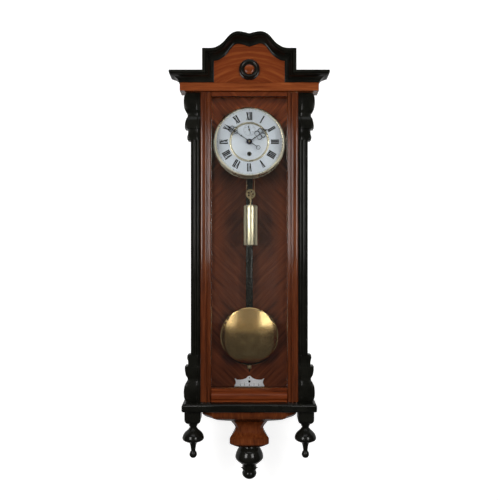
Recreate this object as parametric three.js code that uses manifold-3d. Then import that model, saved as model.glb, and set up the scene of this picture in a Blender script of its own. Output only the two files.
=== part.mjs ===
// A one-weight wall regulator clock: a tall glazed case with a shaped crest, a movement on a bracket,
// a two-piece dial, a pendulum that beats eighty times a minute and a brass weight on a pulley.
// Millimetres, +X to the viewer's right, +Y towards the wall, +Z up.
// The origin lies on the backboard's rear face, on the centre line, level with the middle of the door.
import * as THREE from "three";
import { mergeVertices } from "three/addons/utils/BufferGeometryUtils.js";
import Module from "manifold-3d";

// Fits and cuts
const seatGap = 0.3;
const runGap = 0.3;
const cutOverrun = 2;
const weldDistance = 0.0001;

// Carcass
const caseWidth = 250;
const sideThickness = 18;
const backThickness = 14;
const caseDepth = 160.7;
const ceilingHeight = 440;
const topThickness = 12;
const windowStile = 26;
const windowBottomRail = 60;
const windowTopRail = 60;
const windowRebate = 5;
const windowRebateDepth = 9;
const windowGlassThickness = 2.5;

// Door
const doorClearance = 1;
const doorThickness = 19;
const stileWidth = 28.5;
const doorEdgeRadius = 5;
const doorEdgeChamfer = 3;
const doorRebate = 8;
const doorRebateDepth = 8;
const doorGlassThickness = 2.5;
const topRailHeight = 10;
const bottomRailHeight = 33.5;
const railMouldingReach = 5;
const pivotPinRadius = 2;
const pivotPinLength = 8;
const pivotPlateLength = 12.4;
const pivotPlateDepth = 9;
const pivotPlateThickness = 1.5;
const pivotPlateMargin = 3;

// Frieze, crown and crest
const friezeReach = 50.5;
const friezeStep = 10;
const friezeDrop = 38;
const friezeHeight = 20.2;
const friezeReturn = 44;
const crownReturn = 25;
const crownRise = 25.1;
const crownReach = 24;
const crestThickness = 12;
const crestHalf = 117.2;
const crestShoulderRise = 99.6;
const crestRise = 41.4;
const fieldHalf = 89.2;
const fieldShoulderRise = 74.7;
const fieldRise = 43.3;
const crestEdgeMargin = 2;
const curveStepsPerShare = 3;
const roundelRise = 52;
const roundelRadius = 26;
const roundelThickness = 13;

// Pilasters and brackets
const pilasterWidth = 24;
const upperBracketHeight = 121;
const lowerBracketHeight = 119.3;
const pilasterThickness = 30;
const pilasterSetback = 5.6;
const reedHeight = 3;
const bracketWidth = 43.4;
const bracketSetback = 5.6;
const bracketThickness = 28;

// Base, drop and finials
const baseReach = 45;
const baseStep = 20;
const baseThickness = 19.8;
const baseEdge = 4;
const dropHalf = 121;
const dropStep = 8;
const dropHeight = 107;
const centreFinialSetback = 80;
const centreFinialHeight = 89.5;
const centreFinialRadius = 37;
const blockWidth = 41;
const blockHeight = 35.5;
const sideFinialHeight = 90;
const sideFinialRadius = 27.5;
const sideFinialInset = 26;
const sideFinialSetback = 35;

// Beat scale and hanging plate
const scaleWidth = 84;
const scaleHeight = 30;
const scaleThickness = 1.6;
const hangerWidth = 34;
const hangerHeight = 72;
const hangerThickness = 2.4;
const hangerHoleRadius = 5;
const hangerRise = 26;

// Movement frame
const dialDrop = 155;
const plateWidth = 90;
const plateTop = 67;
const plateBottom = 67;
const plateThickness = 3;
const backPlateRear = 62;
const frontPlateFront = 112;
const pillarRadius = 4;
const pillarAcross = 38;
const pillarUp = 58;
const bracketPlateThickness = 4;
const bracketPlateWidth = 68;
const bracketPlateTop = 74;
const bracketPlateBottom = 70;
const bracketWallThickness = 6;
const bracketWallTop = 50;
const bracketWallBottom = 50;
const cockWidth = 16;
const cockHeight = 9;
const cockFront = 55;

// Wheel train: places, teeth and modules
const winderDrop = 31.5;
const secondsRise = 31.5;
const anchorRise = 54;
const thirdCentreDistance = 26.4;
const thirdEscapeDistance = 18;
const greatTeeth = 96;
const centreTeeth = 80;
const thirdTeeth = 64;
const leafCount = 8;
const escapeTeeth = 30;
const escapeRadius = 15;
const cannonTeeth = 12;
const minuteTeeth = 36;
const minuteLeaves = 10;
const hourTeeth = 40;
const motionDistance = 12;
const greatPlane = 104;
const greatWheelThickness = 2.5;
const wheelThickness = 2;
const centrePlane = 70;
const thirdPlane = 96;
const escapePlane = 78;
const escapeThickness = 1.2;
const pinionLength = 4.4;
const arborRadius = 1.3;
const pivotRadius = 0.9;
const pivotReach = 2.4;
const cannonRadius = 2;
const cannonPlane = 113;
const minuteStudRadius = 0.9;
const minuteStudLength = 8;
const minutePinionLength = 3;
const hourPlane = 117;
const pipeRadius = 3.4;
const pipeClearance = 0.9;
const wheelRim = 3.2;
const hubRadius = 4.5;
const greatCrossings = 5;
const centreCrossings = 5;
const thirdCrossings = 4;
const escapeToothDepth = 3;
const pinionOverhang = 1.2;
const ratchetToothDepth = 1.4;
const minuteWheelStep = 0.5;
const minutePinionStep = 1.5;
const spokeWidth = 2.4;

// Drum, ratchet and click
const drumPitchRadius = 7;
const drumFlangeRadius = 11.5;
const drumBack = 74;
const drumLength = 27;
const drumFlange = 2;
const ratchetTeeth = 20;
const ratchetRadius = 10;
const ratchetThickness = 2;
const drumArborRadius = 2.4;
const squareSide = 4.4;
const squareReach = 10;
const clickPivotRadius = 16.5;
const clickWidth = 4;
const clickStudRadius = 1.2;

// Dial
const dialPlateRadius = 88;
const dialPlateBack = 123.2;
const dialPlateThickness = 1.8;
const dialFootRadius = 3;
const chapterOuter = 88;
const chapterInner = 52.5;
const chapterThickness = 2.7;
const chapterEdgeShare = 0.4;
const innerRingInner = 47.6;
const innerRingThickness = 4.2;
const centreDiscThickness = 1.5;
const windingHoleRadius = 5.5;
const bezelFront = 131.5;
const bezelBack = 110;
const bezelLip = 86.8;
const bezelFrontRadius = 89.8;
const bezelBackRadius = 95.5;
const bezelWall = 1.8;

// Hands
const handThickness = 0.9;
const hourHandPlane = 131.6;
const hourHandReach = 58;
const hourHandAngle = 55.4;
const minuteHandPlane = 134.6;
const minuteHandReach = 81;
const minuteTailReach = 34;
const minuteHandAngle = 304.8;
const secondsHandPlane = 128.7;
const secondsHandReach = 15.5;
const secondsTailReach = 11;
const secondsHandAngle = 162;
const hourHub = 7.4;
const minuteHub = 5.6;
const secondsHub = 2.4;
const handStem = 1.7;

// Anchor and crutch
const palletThickness = 4;
const palletClear = 1.2;
const palletAngle = 47;
const palletWidth = 2.6;
const crutchPlane = 57.5;
const crutchThickness = 2;
const crutchWidth = 5;
const crutchLength = 62;
const crutchProng = 3;

// Pendulum
const pendulumPlane = 45;
const rodWidth = 19;
const rodThickness = 8;
const rodTop = 34;
const rodBottom = 642;
const springWidth = 8;
const springThickness = 0.5;
const springTop = 7;
const cockSeatShare = 1 / 3;
const springBottom = 13;
const hangerBlockWidth = 12;
const hangerBlockThickness = 6;
const threadRadius = 2;
const threadBottom = 678;
const bobCentre = 578;
const footRoom = 68.6;
const bobRadius = 80;
const bobFront = 13;
const bobBack = 5;
const nutRadius = 6.5;
const nutHeight = 11;

// Weight, pulley and line
const shellPlane = 90;
const shellRadius = 19.2;
const shellDrop = 29.5;
const shellHeight = 109.2;
const shellWall = 1.4;
const pulleyDrop = 133.6;
const pulleyPitchRadius = 10.5;
const pulleyRadius = 13;
const pulleyHalfWidth = 2.2;
const pulleyAxleRadius = 1.2;
const stirrupThickness = 1.4;
const stirrupWidth = 5;
const stirrupGap = 1.2;
const stirrupDrop = 18;
const hookRadius = 1.6;
const lineRadius = 0.6;
const linePostRadius = 2;
const linePostEdgeShare = 3;

// Round shapes: how many sides each size of circle has
const fineSides = 40;
const turnedSides = 20;
const smallSides = 10;
const lineSides = 8;
const lineArcSteps = 12;
const arcSteps = 5;
const crossingSteps = 2;

const caseHalf = caseWidth / 2;
const dialHeight = ceilingHeight - dialDrop;
const pulleyHeight = dialHeight - pulleyDrop;
const floorHeight = dialHeight + anchorRise - bobCentre - bobRadius - footRoom;
const doorDepth = caseDepth + seatGap + doorThickness;
const friezeHalf = caseHalf + friezeReach;
const friezeFront = doorDepth + friezeStep;
const pilasterFront = doorDepth - pilasterSetback;
const pilasterBack = pilasterFront - pilasterThickness;
const bracketFront = doorDepth - bracketSetback;
const bracketBack = bracketFront - bracketThickness;
const baseHalf = caseHalf + baseReach;
const baseFront = doorDepth + baseStep;
const sideFinialDepth = baseFront - sideFinialSetback;
const sideFinialPlace = baseHalf - sideFinialInset;
const centreFinialDepth = baseFront - centreFinialSetback;
const dropFront = doorDepth + dropStep;
const friezeBottom = ceilingHeight - friezeDrop;
const doorTop = friezeBottom - doorClearance;
const doorBottom = floorHeight + doorClearance;
const pilasterTop = friezeBottom - upperBracketHeight - seatGap * 2;
const pilasterBottom = floorHeight + lowerBracketHeight + seatGap * 2;
const crestShoulder = friezeBottom + crestShoulderRise;
const fieldShoulder = friezeBottom + fieldShoulderRise;
const roundelHeight = friezeBottom + roundelRise;
const innerHalf = caseHalf - sideThickness;
const topOfCase = ceilingHeight + seatGap + topThickness;
const full = Math.PI * 2;
const quarter = Math.PI / 2;
const lineSectionTurns = [...Array(lineSides).keys()].map((i) => (i / lineSides) * full);

// Finishes
const finish = (color, roughness, metalness) =>
  new THREE.MeshStandardMaterial({ color, roughness, metalness });
const walnut = finish(0x7a3f1d, 0.35, 0);
const darkWalnut = finish(0x5a2a18, 0.4, 0);
const ebonised = finish(0x15130f, 0.3, 0);
const pine = finish(0xb08a5a, 0.7, 0);
const glass = new THREE.MeshStandardMaterial({
  color: 0xeef4f2,
  roughness: 0.05,
  transparent: true,
  opacity: 0.3,
});
const enamel = finish(0xe9ebe8, 0.2, 0);
const brass = finish(0xc9a55a, 0.3, 0.9);
const polishedBrass = finish(0xe0bd6a, 0.2, 1);
const castIron = finish(0x2a2a2c, 0.6, 0.6);
const steel = finish(0x9a9ca0, 0.35, 0.9);
const bluedSteel = finish(0x16181f, 0.3, 0.7);
const lead = finish(0x5c5f63, 0.6, 0.5);
const gut = finish(0xb08b4e, 0.6, 0);

const wasm = await Module();
wasm.setup();

// Turns a closed geometry into a solid whose faces point outwards.
function solid(geometry) {
  const bare = geometry.clone();
  bare.deleteAttribute("normal");
  bare.deleteAttribute("uv");
  const merged = mergeVertices(bare, weldDistance);
  const corners = merged.index.array;
  const kept = [];
  for (let i = 0; i < corners.length; i += 3) {
    const [a, b, c] = [corners[i], corners[i + 1], corners[i + 2]];
    if (a !== b && b !== c && c !== a) kept.push(a, b, c);
  }
  const build = (triangles) =>
    new wasm.Manifold(
      new wasm.Mesh({
        numProp: 3,
        vertProperties: merged.attributes.position.array,
        triVerts: new Uint32Array(triangles),
      }),
    );
  const made = build(kept);
  return made.volume() < 0 ? build(kept.reverse()) : made;
}

// Joins several solids into one.
const join = (first, ...others) => others.reduce((sum, one) => sum.add(one), first);

// Cuts several solids out of one.
const cut = (body, ...tools) => tools.reduce((rest, tool) => rest.subtract(tool), body);

// Makes a named mesh from a solid and hangs it in a group.
function addPiece(group, name, body, material, place = [0, 0, 0]) {
  const made = body.getMesh();
  const geometry = new THREE.BufferGeometry();
  const positions = new Float32Array(made.numVert * 3);
  for (let i = 0; i < made.numVert; i++) {
    positions.set(made.vertProperties.subarray(i * made.numProp, i * made.numProp + 3), i * 3);
  }
  geometry.setAttribute("position", new THREE.BufferAttribute(positions, 3));
  geometry.setIndex(new THREE.BufferAttribute(made.triVerts, 1));
  geometry.computeVertexNormals();
  const mesh = new THREE.Mesh(geometry, material);
  mesh.name = name;
  mesh.position.set(...place);
  group.add(mesh);
}

// A box between two opposite corners.
function box([x0, y0, z0], [x1, y1, z1]) {
  const block = new THREE.BoxGeometry(x1 - x0, y1 - y0, z1 - z0);
  return solid(block.translate((x0 + x1) / 2, (y0 + y1) / 2, (z0 + z1) / 2));
}

const shapeOf = (points) => new THREE.Shape(points.map(([u, v]) => new THREE.Vector2(u, v)));

// An outline in the X-Z plane, extruded from its front to its back.
function slabAcross(shape, front, back, curveSegments = arcSteps) {
  const slab = new THREE.ExtrudeGeometry(shape, { depth: back - front, bevelEnabled: false, curveSegments });
  return solid(slab.rotateX(quarter).translate(0, back, 0));
}

// An outline in the X-Y plane, extruded upwards.
function postUp(shape, bottom, top) {
  const post = new THREE.ExtrudeGeometry(shape, { depth: top - bottom, bevelEnabled: false });
  return solid(post.translate(0, 0, bottom));
}

// An outline in the Y-Z plane, extruded to the right.
function railAlong(shape, left, right) {
  const rail = new THREE.ExtrudeGeometry(shape, { depth: right - left, bevelEnabled: false });
  const turn = new THREE.Matrix4().makeBasis(
    new THREE.Vector3(0, 1, 0),
    new THREE.Vector3(0, 0, 1),
    new THREE.Vector3(1, 0, 0),
  );
  return solid(rail.applyMatrix4(turn).translate(left, 0, 0));
}

const lathe = (profile, sides) =>
  new THREE.LatheGeometry(
    profile.map(([radius, along]) => new THREE.Vector2(radius, along)),
    sides,
  );

// A turned piece about the Y axis, and one about the Z axis.
const turnedY = (profile, sides = turnedSides) => solid(lathe(profile, sides));
const turnedZ = (profile, sides = turnedSides) => solid(lathe(profile, sides).rotateX(quarter));

// A plain rod, and a plain ring, about the Y axis.
const rodY = (radius, front, back, sides = smallSides) =>
  turnedY(
    [
      [0, front],
      [radius, front],
      [radius, back],
      [0, back],
    ],
    sides,
  );
const ringY = (inner, outer, front, back, sides = turnedSides) =>
  turnedY(
    [
      [inner, front],
      [outer, front],
      [outer, back],
      [inner, back],
      [inner, front],
    ],
    sides,
  );

// A rod about the Z axis.
const rodZ = (radius, bottom, top, sides = smallSides) =>
  turnedZ(
    [
      [0, bottom],
      [radius, bottom],
      [radius, top],
      [0, top],
    ],
    sides,
  );

const at = (body, x, y, z) => body.translate([x, y, z]);

// A skin through rings of points with equal counts, closed by a cap at each end.
// The cap follows the triangles of a flat outline with the same count of points.
function loft(rings, flat) {
  const count = flat.length;
  const positions = rings.flat(2);
  const triangles = [];
  for (let r = 0; r + 1 < rings.length; r++) {
    for (let i = 0; i < count; i++) {
      const next = (i + 1) % count;
      const [a, b] = [r * count + i, r * count + next];
      triangles.push(a, b, b + count, a, b + count, a + count);
    }
  }
  const outline = flat.map(([u, v]) => new THREE.Vector2(u, v));
  const turnedRight = THREE.ShapeUtils.isClockWise(outline);
  if (turnedRight) outline.reverse();
  const last = (rings.length - 1) * count;
  const index = (i) => (turnedRight ? count - 1 - i : i);
  for (const [a, b, c] of THREE.ShapeUtils.triangulateShape(outline, [])) {
    const corner = [index(a), index(b), index(c)];
    const forward = turnedRight ? [corner[0], corner[2], corner[1]] : corner;
    triangles.push(forward[0], forward[2], forward[1]);
    triangles.push(last + forward[0], last + forward[1], last + forward[2]);
  }
  const skin = new THREE.BufferGeometry();
  skin.setAttribute("position", new THREE.Float32BufferAttribute(positions, 3));
  skin.setIndex(triangles);
  return solid(skin);
}

// A block against the wall whose half width and front change with height: [height, half width, front].
function wallBlock(levels, cant = 0) {
  const corners = (half, front, back = 1) =>
    cant > 0
      ? [
          [-half * back, 0],
          [-half, -front + half * cant],
          [-half * (1 - cant), -front],
          [half * (1 - cant), -front],
          [half, -front + half * cant],
          [half * back, 0],
        ]
      : [
          [-half, 0],
          [-half, -front],
          [half, -front],
          [half, 0],
        ];
  const rings = levels.map(([z, half, front, back]) =>
    corners(half, front, back).map(([x, y]) => [x, y, z]),
  );
  return loft(rings, corners(1, 2));
}

// Points of a smooth curve through a table of shares, scaled to a width and a rise above a start height.
function shareCurve(shares, half, start, rise) {
  const knots = shares.map(([across, up]) => new THREE.Vector2(across * half, start + up * rise));
  return new THREE.SplineCurve(knots).getPoints((shares.length - 1) * curveStepsPerShare);
}

const root = new THREE.Group();

// The carcass: backboard, two glazed side frames and a top board.
function addCarcass() {
  const sideFront = -caseDepth;
  const sideBack = -backThickness - seatGap;
  const bottom = floorHeight + seatGap;
  const pocket = box(
    [-hangerWidth / 2 - seatGap, -hangerThickness - seatGap, topOfCase - hangerHeight + hangerRise - seatGap],
    [hangerWidth / 2 + seatGap, cutOverrun, topOfCase + cutOverrun],
  );
  const back = box([-caseHalf, -backThickness, bottom], [caseHalf, 0, topOfCase]);
  addPiece(root, "backboard", cut(back, pocket), darkWalnut);

  const windowFront = sideFront + windowStile;
  const windowBack = sideBack - windowStile;
  const windowBottom = bottom + windowBottomRail;
  const windowTop = ceilingHeight - windowTopRail;
  for (const [name, sign] of [
    ["left", -1],
    ["right", 1],
  ]) {
    const span = (near, far) => [Math.min(sign * near, sign * far), Math.max(sign * near, sign * far)];
    const [x0, x1] = span(innerHalf, caseHalf);
    const [cut0, cut1] = span(innerHalf - cutOverrun, caseHalf + cutOverrun);
    const [rebate0, rebate1] = span(innerHalf - cutOverrun, innerHalf + windowRebateDepth);
    const frame = cut(
      box([x0, sideFront, bottom], [x1, sideBack, ceilingHeight]),
      box([cut0, windowFront, windowBottom], [cut1, windowBack, windowTop]),
      box(
        [rebate0, windowFront - windowRebate, windowBottom - windowRebate],
        [rebate1, windowBack + windowRebate, windowTop + windowRebate],
      ),
    );
    addPiece(root, "side_frame_" + name, frame, walnut);
    const paneOuter = innerHalf + windowRebateDepth - seatGap;
    const [pane0, pane1] = span(paneOuter - windowGlassThickness, paneOuter);
    const reach = windowRebate - seatGap;
    const pane = box(
      [pane0, windowFront - reach, windowBottom - reach],
      [pane1, windowBack + reach, windowTop + reach],
    );
    addPiece(root, "side_glass_" + name, pane, glass);
  }
  const lid = box([-caseHalf, sideFront, ceilingHeight + seatGap], [caseHalf, sideBack, topOfCase]);
  addPiece(root, "top_board", lid, pine);
}

const pivotX = caseHalf - doorEdgeRadius;
const pivotY = -doorDepth + doorEdgeRadius;

// The frieze crosses the front with a short return on each side, and a rail on top of it carries the crown.
function addFrieze() {
  const friezeTop = friezeBottom + friezeHeight;
  const crownTop = friezeTop + seatGap + crownRise;
  const notchHalf = caseHalf + seatGap;
  const notchFront = caseDepth + seatGap;
  const friezeBack = friezeFront - friezeReturn;
  const collar = shapeOf([
    [-friezeHalf, -friezeBack],
    [-friezeHalf, -friezeFront],
    [friezeHalf, -friezeFront],
    [friezeHalf, -friezeBack],
    [notchHalf, -friezeBack],
    [notchHalf, -notchFront],
    [-notchHalf, -notchFront],
    [-notchHalf, -friezeBack],
  ]);
  const board = postUp(collar, friezeBottom, friezeTop);
  const core = box(
    [-friezeHalf, -friezeFront + crestThickness + seatGap, friezeTop - cutOverrun],
    [friezeHalf, -friezeFront + crownReturn, crownTop],
  );
  const pinHole = at(
    rodZ(pivotPinRadius + runGap, friezeBottom - cutOverrun, friezeBottom + pivotPinLength + seatGap),
    pivotX,
    pivotY,
    0,
  );
  addPiece(root, "frieze_board", cut(join(board, core), pinHole), walnut);
}

// Shares of the half width and of the rise for the crest's outer edge and for its veneered field.
const crestEdgeShares = [
  [1, 0],
  [0.785, 0.01],
  [0.674, 0.11],
  [0.555, 0.35],
  [0.435, 0.74],
  [0.341, 0.93],
  [0.239, 1],
  [0.111, 0.95],
  [0, 0.87],
];
const fieldEdgeShares = [
  [1, 0],
  [0.93, 0.02],
  [0.854, 0.07],
  [0.673, 0.314],
  [0.546, 0.647],
  [0.438, 0.908],
  [0.294, 1],
  [0.133, 0.908],
  [0, 0.815],
];
// The roundel's two turned pieces: share of its radius, share of its thickness.
const roundelRingShares = [
  [0.49, 0],
  [1, 0],
  [1, 0.45],
  [0.9, 0.85],
  [0.76, 1],
  [0.6, 0.85],
  [0.49, 0.5],
  [0.49, 0],
];
const roundelBossShares = [
  [0, 0],
  [0.475, 0],
  [0.475, 0.5],
  [0.3, 0.66],
  [0, 0.72],
];
// The crown moulding's section: share of its rise, then share of its reach.
const crownSectionShares = [
  [0, 0],
  [0, 0.08],
  [0.16, 0.14],
  [0.34, 0.3],
  [0.5, 0.55],
  [0.58, 0.82],
  [0.66, 0.86],
  [0.68, 1],
  [1, 1],
  [1, 0],
];

// The crest board stands on the frieze and carries one continuous black moulding:
// along each side, across each wing, up the crest's sides and over its humps.
function addCrest() {
  const boardBottom = friezeBottom + friezeHeight + seatGap;
  const crownTop = boardBottom + crownRise;
  const edge = shareCurve(
    crestEdgeShares,
    crestHalf - crestEdgeMargin,
    crestShoulder - crestEdgeMargin,
    crestRise,
  ).map(({ x, y }) => [x, y]);
  const mirrored = edge
    .slice(0, -1)
    .reverse()
    .map(([x, z]) => [-x, z]);
  const outline = [
    [-friezeHalf, boardBottom],
    [friezeHalf, boardBottom],
    [friezeHalf, crownTop],
    [crestHalf - crestEdgeMargin, crownTop],
    ...edge,
    ...mirrored,
    [-crestHalf + crestEdgeMargin, crownTop],
    [-friezeHalf, crownTop],
  ];
  const board = slabAcross(shapeOf(outline), -friezeFront, -friezeFront + crestThickness);
  addPiece(root, "crest_board", board, walnut);

  const seat = friezeFront + seatGap;
  const side = friezeHalf + seatGap;
  const crownBack = friezeFront - crownReturn;
  const outer = shareCurve(crestEdgeShares, crestHalf, crestShoulder, crestRise);
  const inner = shareCurve(fieldEdgeShares, fieldHalf, fieldShoulder, fieldRise);
  const right = [
    { from: [side, -crownBack, boardBottom], rise: [0, crownRise], reach: [crownReach, 0] },
    { from: [side, -seat, boardBottom], rise: [0, crownRise], reach: [crownReach, -crownReach] },
    {
      from: [fieldHalf, -seat, boardBottom],
      rise: [crestHalf - fieldHalf, crownRise],
      reach: [0, -crownReach],
    },
    ...inner.map((point, i) => ({
      from: [point.x, -seat, point.y],
      rise: [outer[i].x - point.x, outer[i].y - point.y],
      reach: [0, -crownReach],
    })),
  ];
  const left = right
    .slice(0, -1)
    .reverse()
    .map(({ from, rise, reach }) => ({
      from: [-from[0], from[1], from[2]],
      rise: [-rise[0], rise[1]],
      reach: [-reach[0], reach[1]],
    }));
  const rings = [...right, ...left].map(({ from, rise, reach }) =>
    crownSectionShares.map(([up, out]) => [
      from[0] + rise[0] * up + reach[0] * out,
      from[1] + reach[1] * out,
      from[2] + rise[1] * up,
    ]),
  );
  addPiece(root, "crown_moulding", loft(rings, crownSectionShares), ebonised);

  const turnedRoundel = (shares) =>
    turnedY(shares.map(([across, out]) => [roundelRadius * across, -roundelThickness * out]));
  const place = [0, -seat, roundelHeight];
  addPiece(root, "crest_roundel_ring", turnedRoundel(roundelRingShares), ebonised, place);
  addPiece(root, "crest_roundel_boss", turnedRoundel(roundelBossShares), walnut, place);
}

// Reeded posts beside the door: each reed is a start share, an end share and a height share.
const reedShares = [
  [0.1, 0.38, 1],
  [0.6, 0.78, 0.8],
];
// A bracket's outline from its slim end to its wide end: share of its reach, share of its length.
const bracketShares = [
  [0.62, 0],
  [0.775, 0.02],
  [0.785, 0.08],
  [0.745, 0.14],
  [0.735, 0.19],
  [0.745, 0.24],
  [0.912, 0.25],
  [0.912, 0.33],
  [0.86, 0.44],
  [0.77, 0.5],
  [0.756, 0.54],
  [0.9, 0.64],
  [0.965, 0.72],
  [0.975, 0.82],
  [0.95, 0.92],
  [0.86, 1],
];

function addPilastersAndBrackets() {
  const inner = caseHalf + seatGap;
  const reedFace = reedShares.flatMap(([start, end, height]) =>
    [0, 0.15, 0.5, 0.85, 1].map((step) => [
      start + (end - start) * step,
      height * Math.sin(Math.PI * step) ** (1 / 2),
    ]),
  );
  const upperSpan = [pilasterTop + seatGap, friezeBottom - seatGap];
  const lowerSpan = [pilasterBottom - seatGap, floorHeight + seatGap];
  for (const [name, sign] of [
    ["left", -1],
    ["right", 1],
  ]) {
    const section = [
      [sign * inner, -pilasterBack],
      [sign * inner, -pilasterFront],
      ...reedFace.map(([across, height]) => [
        sign * (inner + pilasterWidth * across),
        -pilasterFront - reedHeight * height,
      ]),
      [sign * (inner + pilasterWidth), -pilasterFront],
      [sign * (inner + pilasterWidth), -pilasterBack],
    ];
    const post = postUp(shapeOf(section), pilasterBottom, pilasterTop);
    addPiece(root, "pilaster_" + name, post, ebonised);

    for (const [level, [slim, wide]] of [
      ["upper", upperSpan],
      ["lower", lowerSpan],
    ]) {
      const height = (share) => slim + (wide - slim) * share;
      const side = bracketShares.map(([out, up]) => [sign * (inner + bracketWidth * out), height(up)]);
      const facing = bracketShares.map(([out, up]) => [
        -bracketBack - (bracketFront - bracketBack) * out,
        height(up),
      ]);
      const fromFront = slabAcross(
        shapeOf([[sign * inner, wide], [sign * inner, slim], ...side]),
        -bracketFront - cutOverrun,
        -bracketBack,
      );
      const fromSide = railAlong(
        shapeOf([[-bracketBack, wide], [-bracketBack, slim], ...facing]),
        -inner - bracketWidth - cutOverrun,
        inner + bracketWidth + cutOverrun,
      );
      addPiece(root, level + "_bracket_" + name, fromFront.intersect(fromSide), ebonised);
    }
  }
}

// A finial's outline from its neck down to its tip: share of its radius, share of its height.
const sideFinialShares = [
  [0, 0],
  [0.5, 0],
  [0.31, 0.13],
  [0.46, 0.19],
  [0.84, 0.3],
  [1, 0.41],
  [0.95, 0.47],
  [0.5, 0.54],
  [0.29, 0.62],
  [0.21, 0.77],
  [0.3, 0.84],
  [0.35, 0.91],
  [0.25, 0.97],
  [0, 1],
];
const centreFinialShares = [
  [0, 0],
  [0.64, 0],
  [0.66, 0.07],
  [0.82, 0.134],
  [0.95, 0.248],
  [1, 0.346],
  [0.875, 0.443],
  [0.66, 0.52],
  [0.42, 0.6],
  [0.42, 0.63],
  [0.6, 0.665],
  [0.6, 0.7],
  [0.43, 0.755],
  [0.51, 0.84],
  [0.44, 0.93],
  [0, 1],
];
// The drop's outline from the base down: share of its height, share of its half width, share of its front,
// and how much of the half width is left at the wall.
const dropShares = [
  [0, 1, 1, 1],
  [0.127, 1, 0.99, 1],
  [0.197, 0.94, 0.965, 0.98],
  [0.25, 0.83, 0.92, 0.95],
  [0.289, 0.644, 0.87, 0.9],
  [0.335, 0.43, 0.82, 0.85],
  [0.42, 0.368, 0.77, 0.8],
  [0.51, 0.313, 0.745, 0.78],
  [0.595, 0.3, 0.74, 0.78],
  [0.675, 0.34, 0.76, 0.7],
  [0.773, 0.423, 0.82, 0.56],
  [0.894, 0.423, 0.83, 0.56],
  [0.944, 0.385, 0.8, 0.6],
  [1, 0.28, 0.75, 0.7],
];
const dropCantShare = 0.22;

function addBase() {
  const bottom = floorHeight - baseThickness;
  const slab = wallBlock([
    [floorHeight, baseHalf - baseEdge, baseFront - baseEdge],
    [floorHeight - baseEdge, baseHalf, baseFront],
    [bottom + baseEdge, baseHalf, baseFront],
    [bottom, baseHalf - baseEdge / 2, baseFront - baseEdge / 2],
  ]);
  const pinHole = at(
    rodZ(pivotPinRadius + runGap, floorHeight - pivotPinLength - seatGap, floorHeight + cutOverrun),
    pivotX,
    pivotY,
    0,
  );
  addPiece(root, "base_board", cut(slab, pinHole), ebonised);

  const dropTop = bottom - seatGap;
  const drop = wallBlock(
    dropShares.map(([down, half, front, back]) => [
      dropTop - dropHeight * down,
      dropHalf * half,
      dropFront * front,
      back,
    ]),
    dropCantShare,
  );
  addPiece(root, "drop_bracket", drop, walnut);

  const turnedFinial = (shares, radius, height) =>
    turnedZ(shares.map(([out, down]) => [radius * out, -height * down]));
  const centreTop = dropTop - dropHeight - seatGap;
  addPiece(
    root,
    "centre_finial",
    turnedFinial(centreFinialShares, centreFinialRadius, centreFinialHeight),
    ebonised,
    [0, -centreFinialDepth, centreTop],
  );

  const half = blockWidth / 2;
  const blockShares = [
    [0, 1],
    [0.62, 1],
    [0.8, 0.94],
    [0.92, 0.8],
    [1, 0.62],
  ];
  const square = (z, size) => [
    [-size, -size, z],
    [size, -size, z],
    [size, size, z],
    [-size, size, z],
  ];
  const block = loft(
    blockShares.map(([down, wide]) => square(-blockHeight * down, half * wide)),
    [
      [-1, -1],
      [1, -1],
      [1, 1],
      [-1, 1],
    ],
  );
  const finial = turnedFinial(sideFinialShares, sideFinialRadius, sideFinialHeight + seatGap);
  const whole = join(block, at(finial, 0, 0, seatGap - blockHeight));
  for (const [name, sign] of [
    ["left", -1],
    ["right", 1],
  ]) {
    const place = [sign * sideFinialPlace, -sideFinialDepth, dropTop];
    addPiece(root, "side_finial_" + name, whole, ebonised, place);
  }
}

// Half of the beat scale's outline from the middle of its top down to its foot:
// shares of half width and height.
const scaleShares = [
  [0, 1],
  [0.1, 0.95],
  [0.2, 0.8],
  [0.37, 0.69],
  [0.6, 0.63],
  [0.83, 0.63],
  [1, 0.77],
  [0.92, 0.48],
  [0.93, 0.26],
  [1, 0.09],
  [1, 0],
];

function addWallPieces() {
  const half = scaleWidth / 2;
  const rightSide = scaleShares.map(([out, up]) => [half * out, scaleHeight * up]);
  const leftSide = rightSide
    .slice(1)
    .reverse()
    .map(([x, z]) => [-x, z]);
  const plaque = slabAcross(shapeOf([...rightSide, ...leftSide]), -scaleThickness, 0);
  const scalePlace = [0, -backThickness - seatGap, floorHeight + seatGap * 2];
  addPiece(root, "beat_scale", plaque, enamel, scalePlace);

  const plateTopEdge = topOfCase + hangerRise;
  const plate = box(
    [-hangerWidth / 2, -hangerThickness, plateTopEdge - hangerHeight],
    [hangerWidth / 2, 0, plateTopEdge],
  );
  const hole = at(
    rodY(hangerHoleRadius, -hangerThickness - cutOverrun, cutOverrun, turnedSides),
    0,
    0,
    topOfCase + hangerRise / 2,
  );
  addPiece(root, "hanger_plate", cut(plate, hole), steel);
}

// A stile's section from its outer edge to the opening: share of its width, share of its thickness.
const stileSectionShares = [
  [0.43, 0],
  [0.445, -0.07],
  [0.51, -0.12],
  [0.575, -0.07],
  [0.59, 0],
  [0.61, 0.13],
  [0.69, 0.13],
  [0.71, 0.04],
  [0.78, 0],
  [0.88, 0.03],
  [0.96, 0.14],
  [1, 0.3],
];
// The bottom rail's face from its top edge down: share of its height, share of its moulding's reach.
const bottomRailShares = [
  [0, 0],
  [0.02, 0.3],
  [0.16, 0.3],
  [0.2, 0],
  [0.34, 0],
  [0.4, 0.62],
  [0.5, 0.95],
  [0.62, 1],
  [0.74, 0.8],
  [0.82, 0.2],
  [0.86, 0],
  [1, 0],
];

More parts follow.
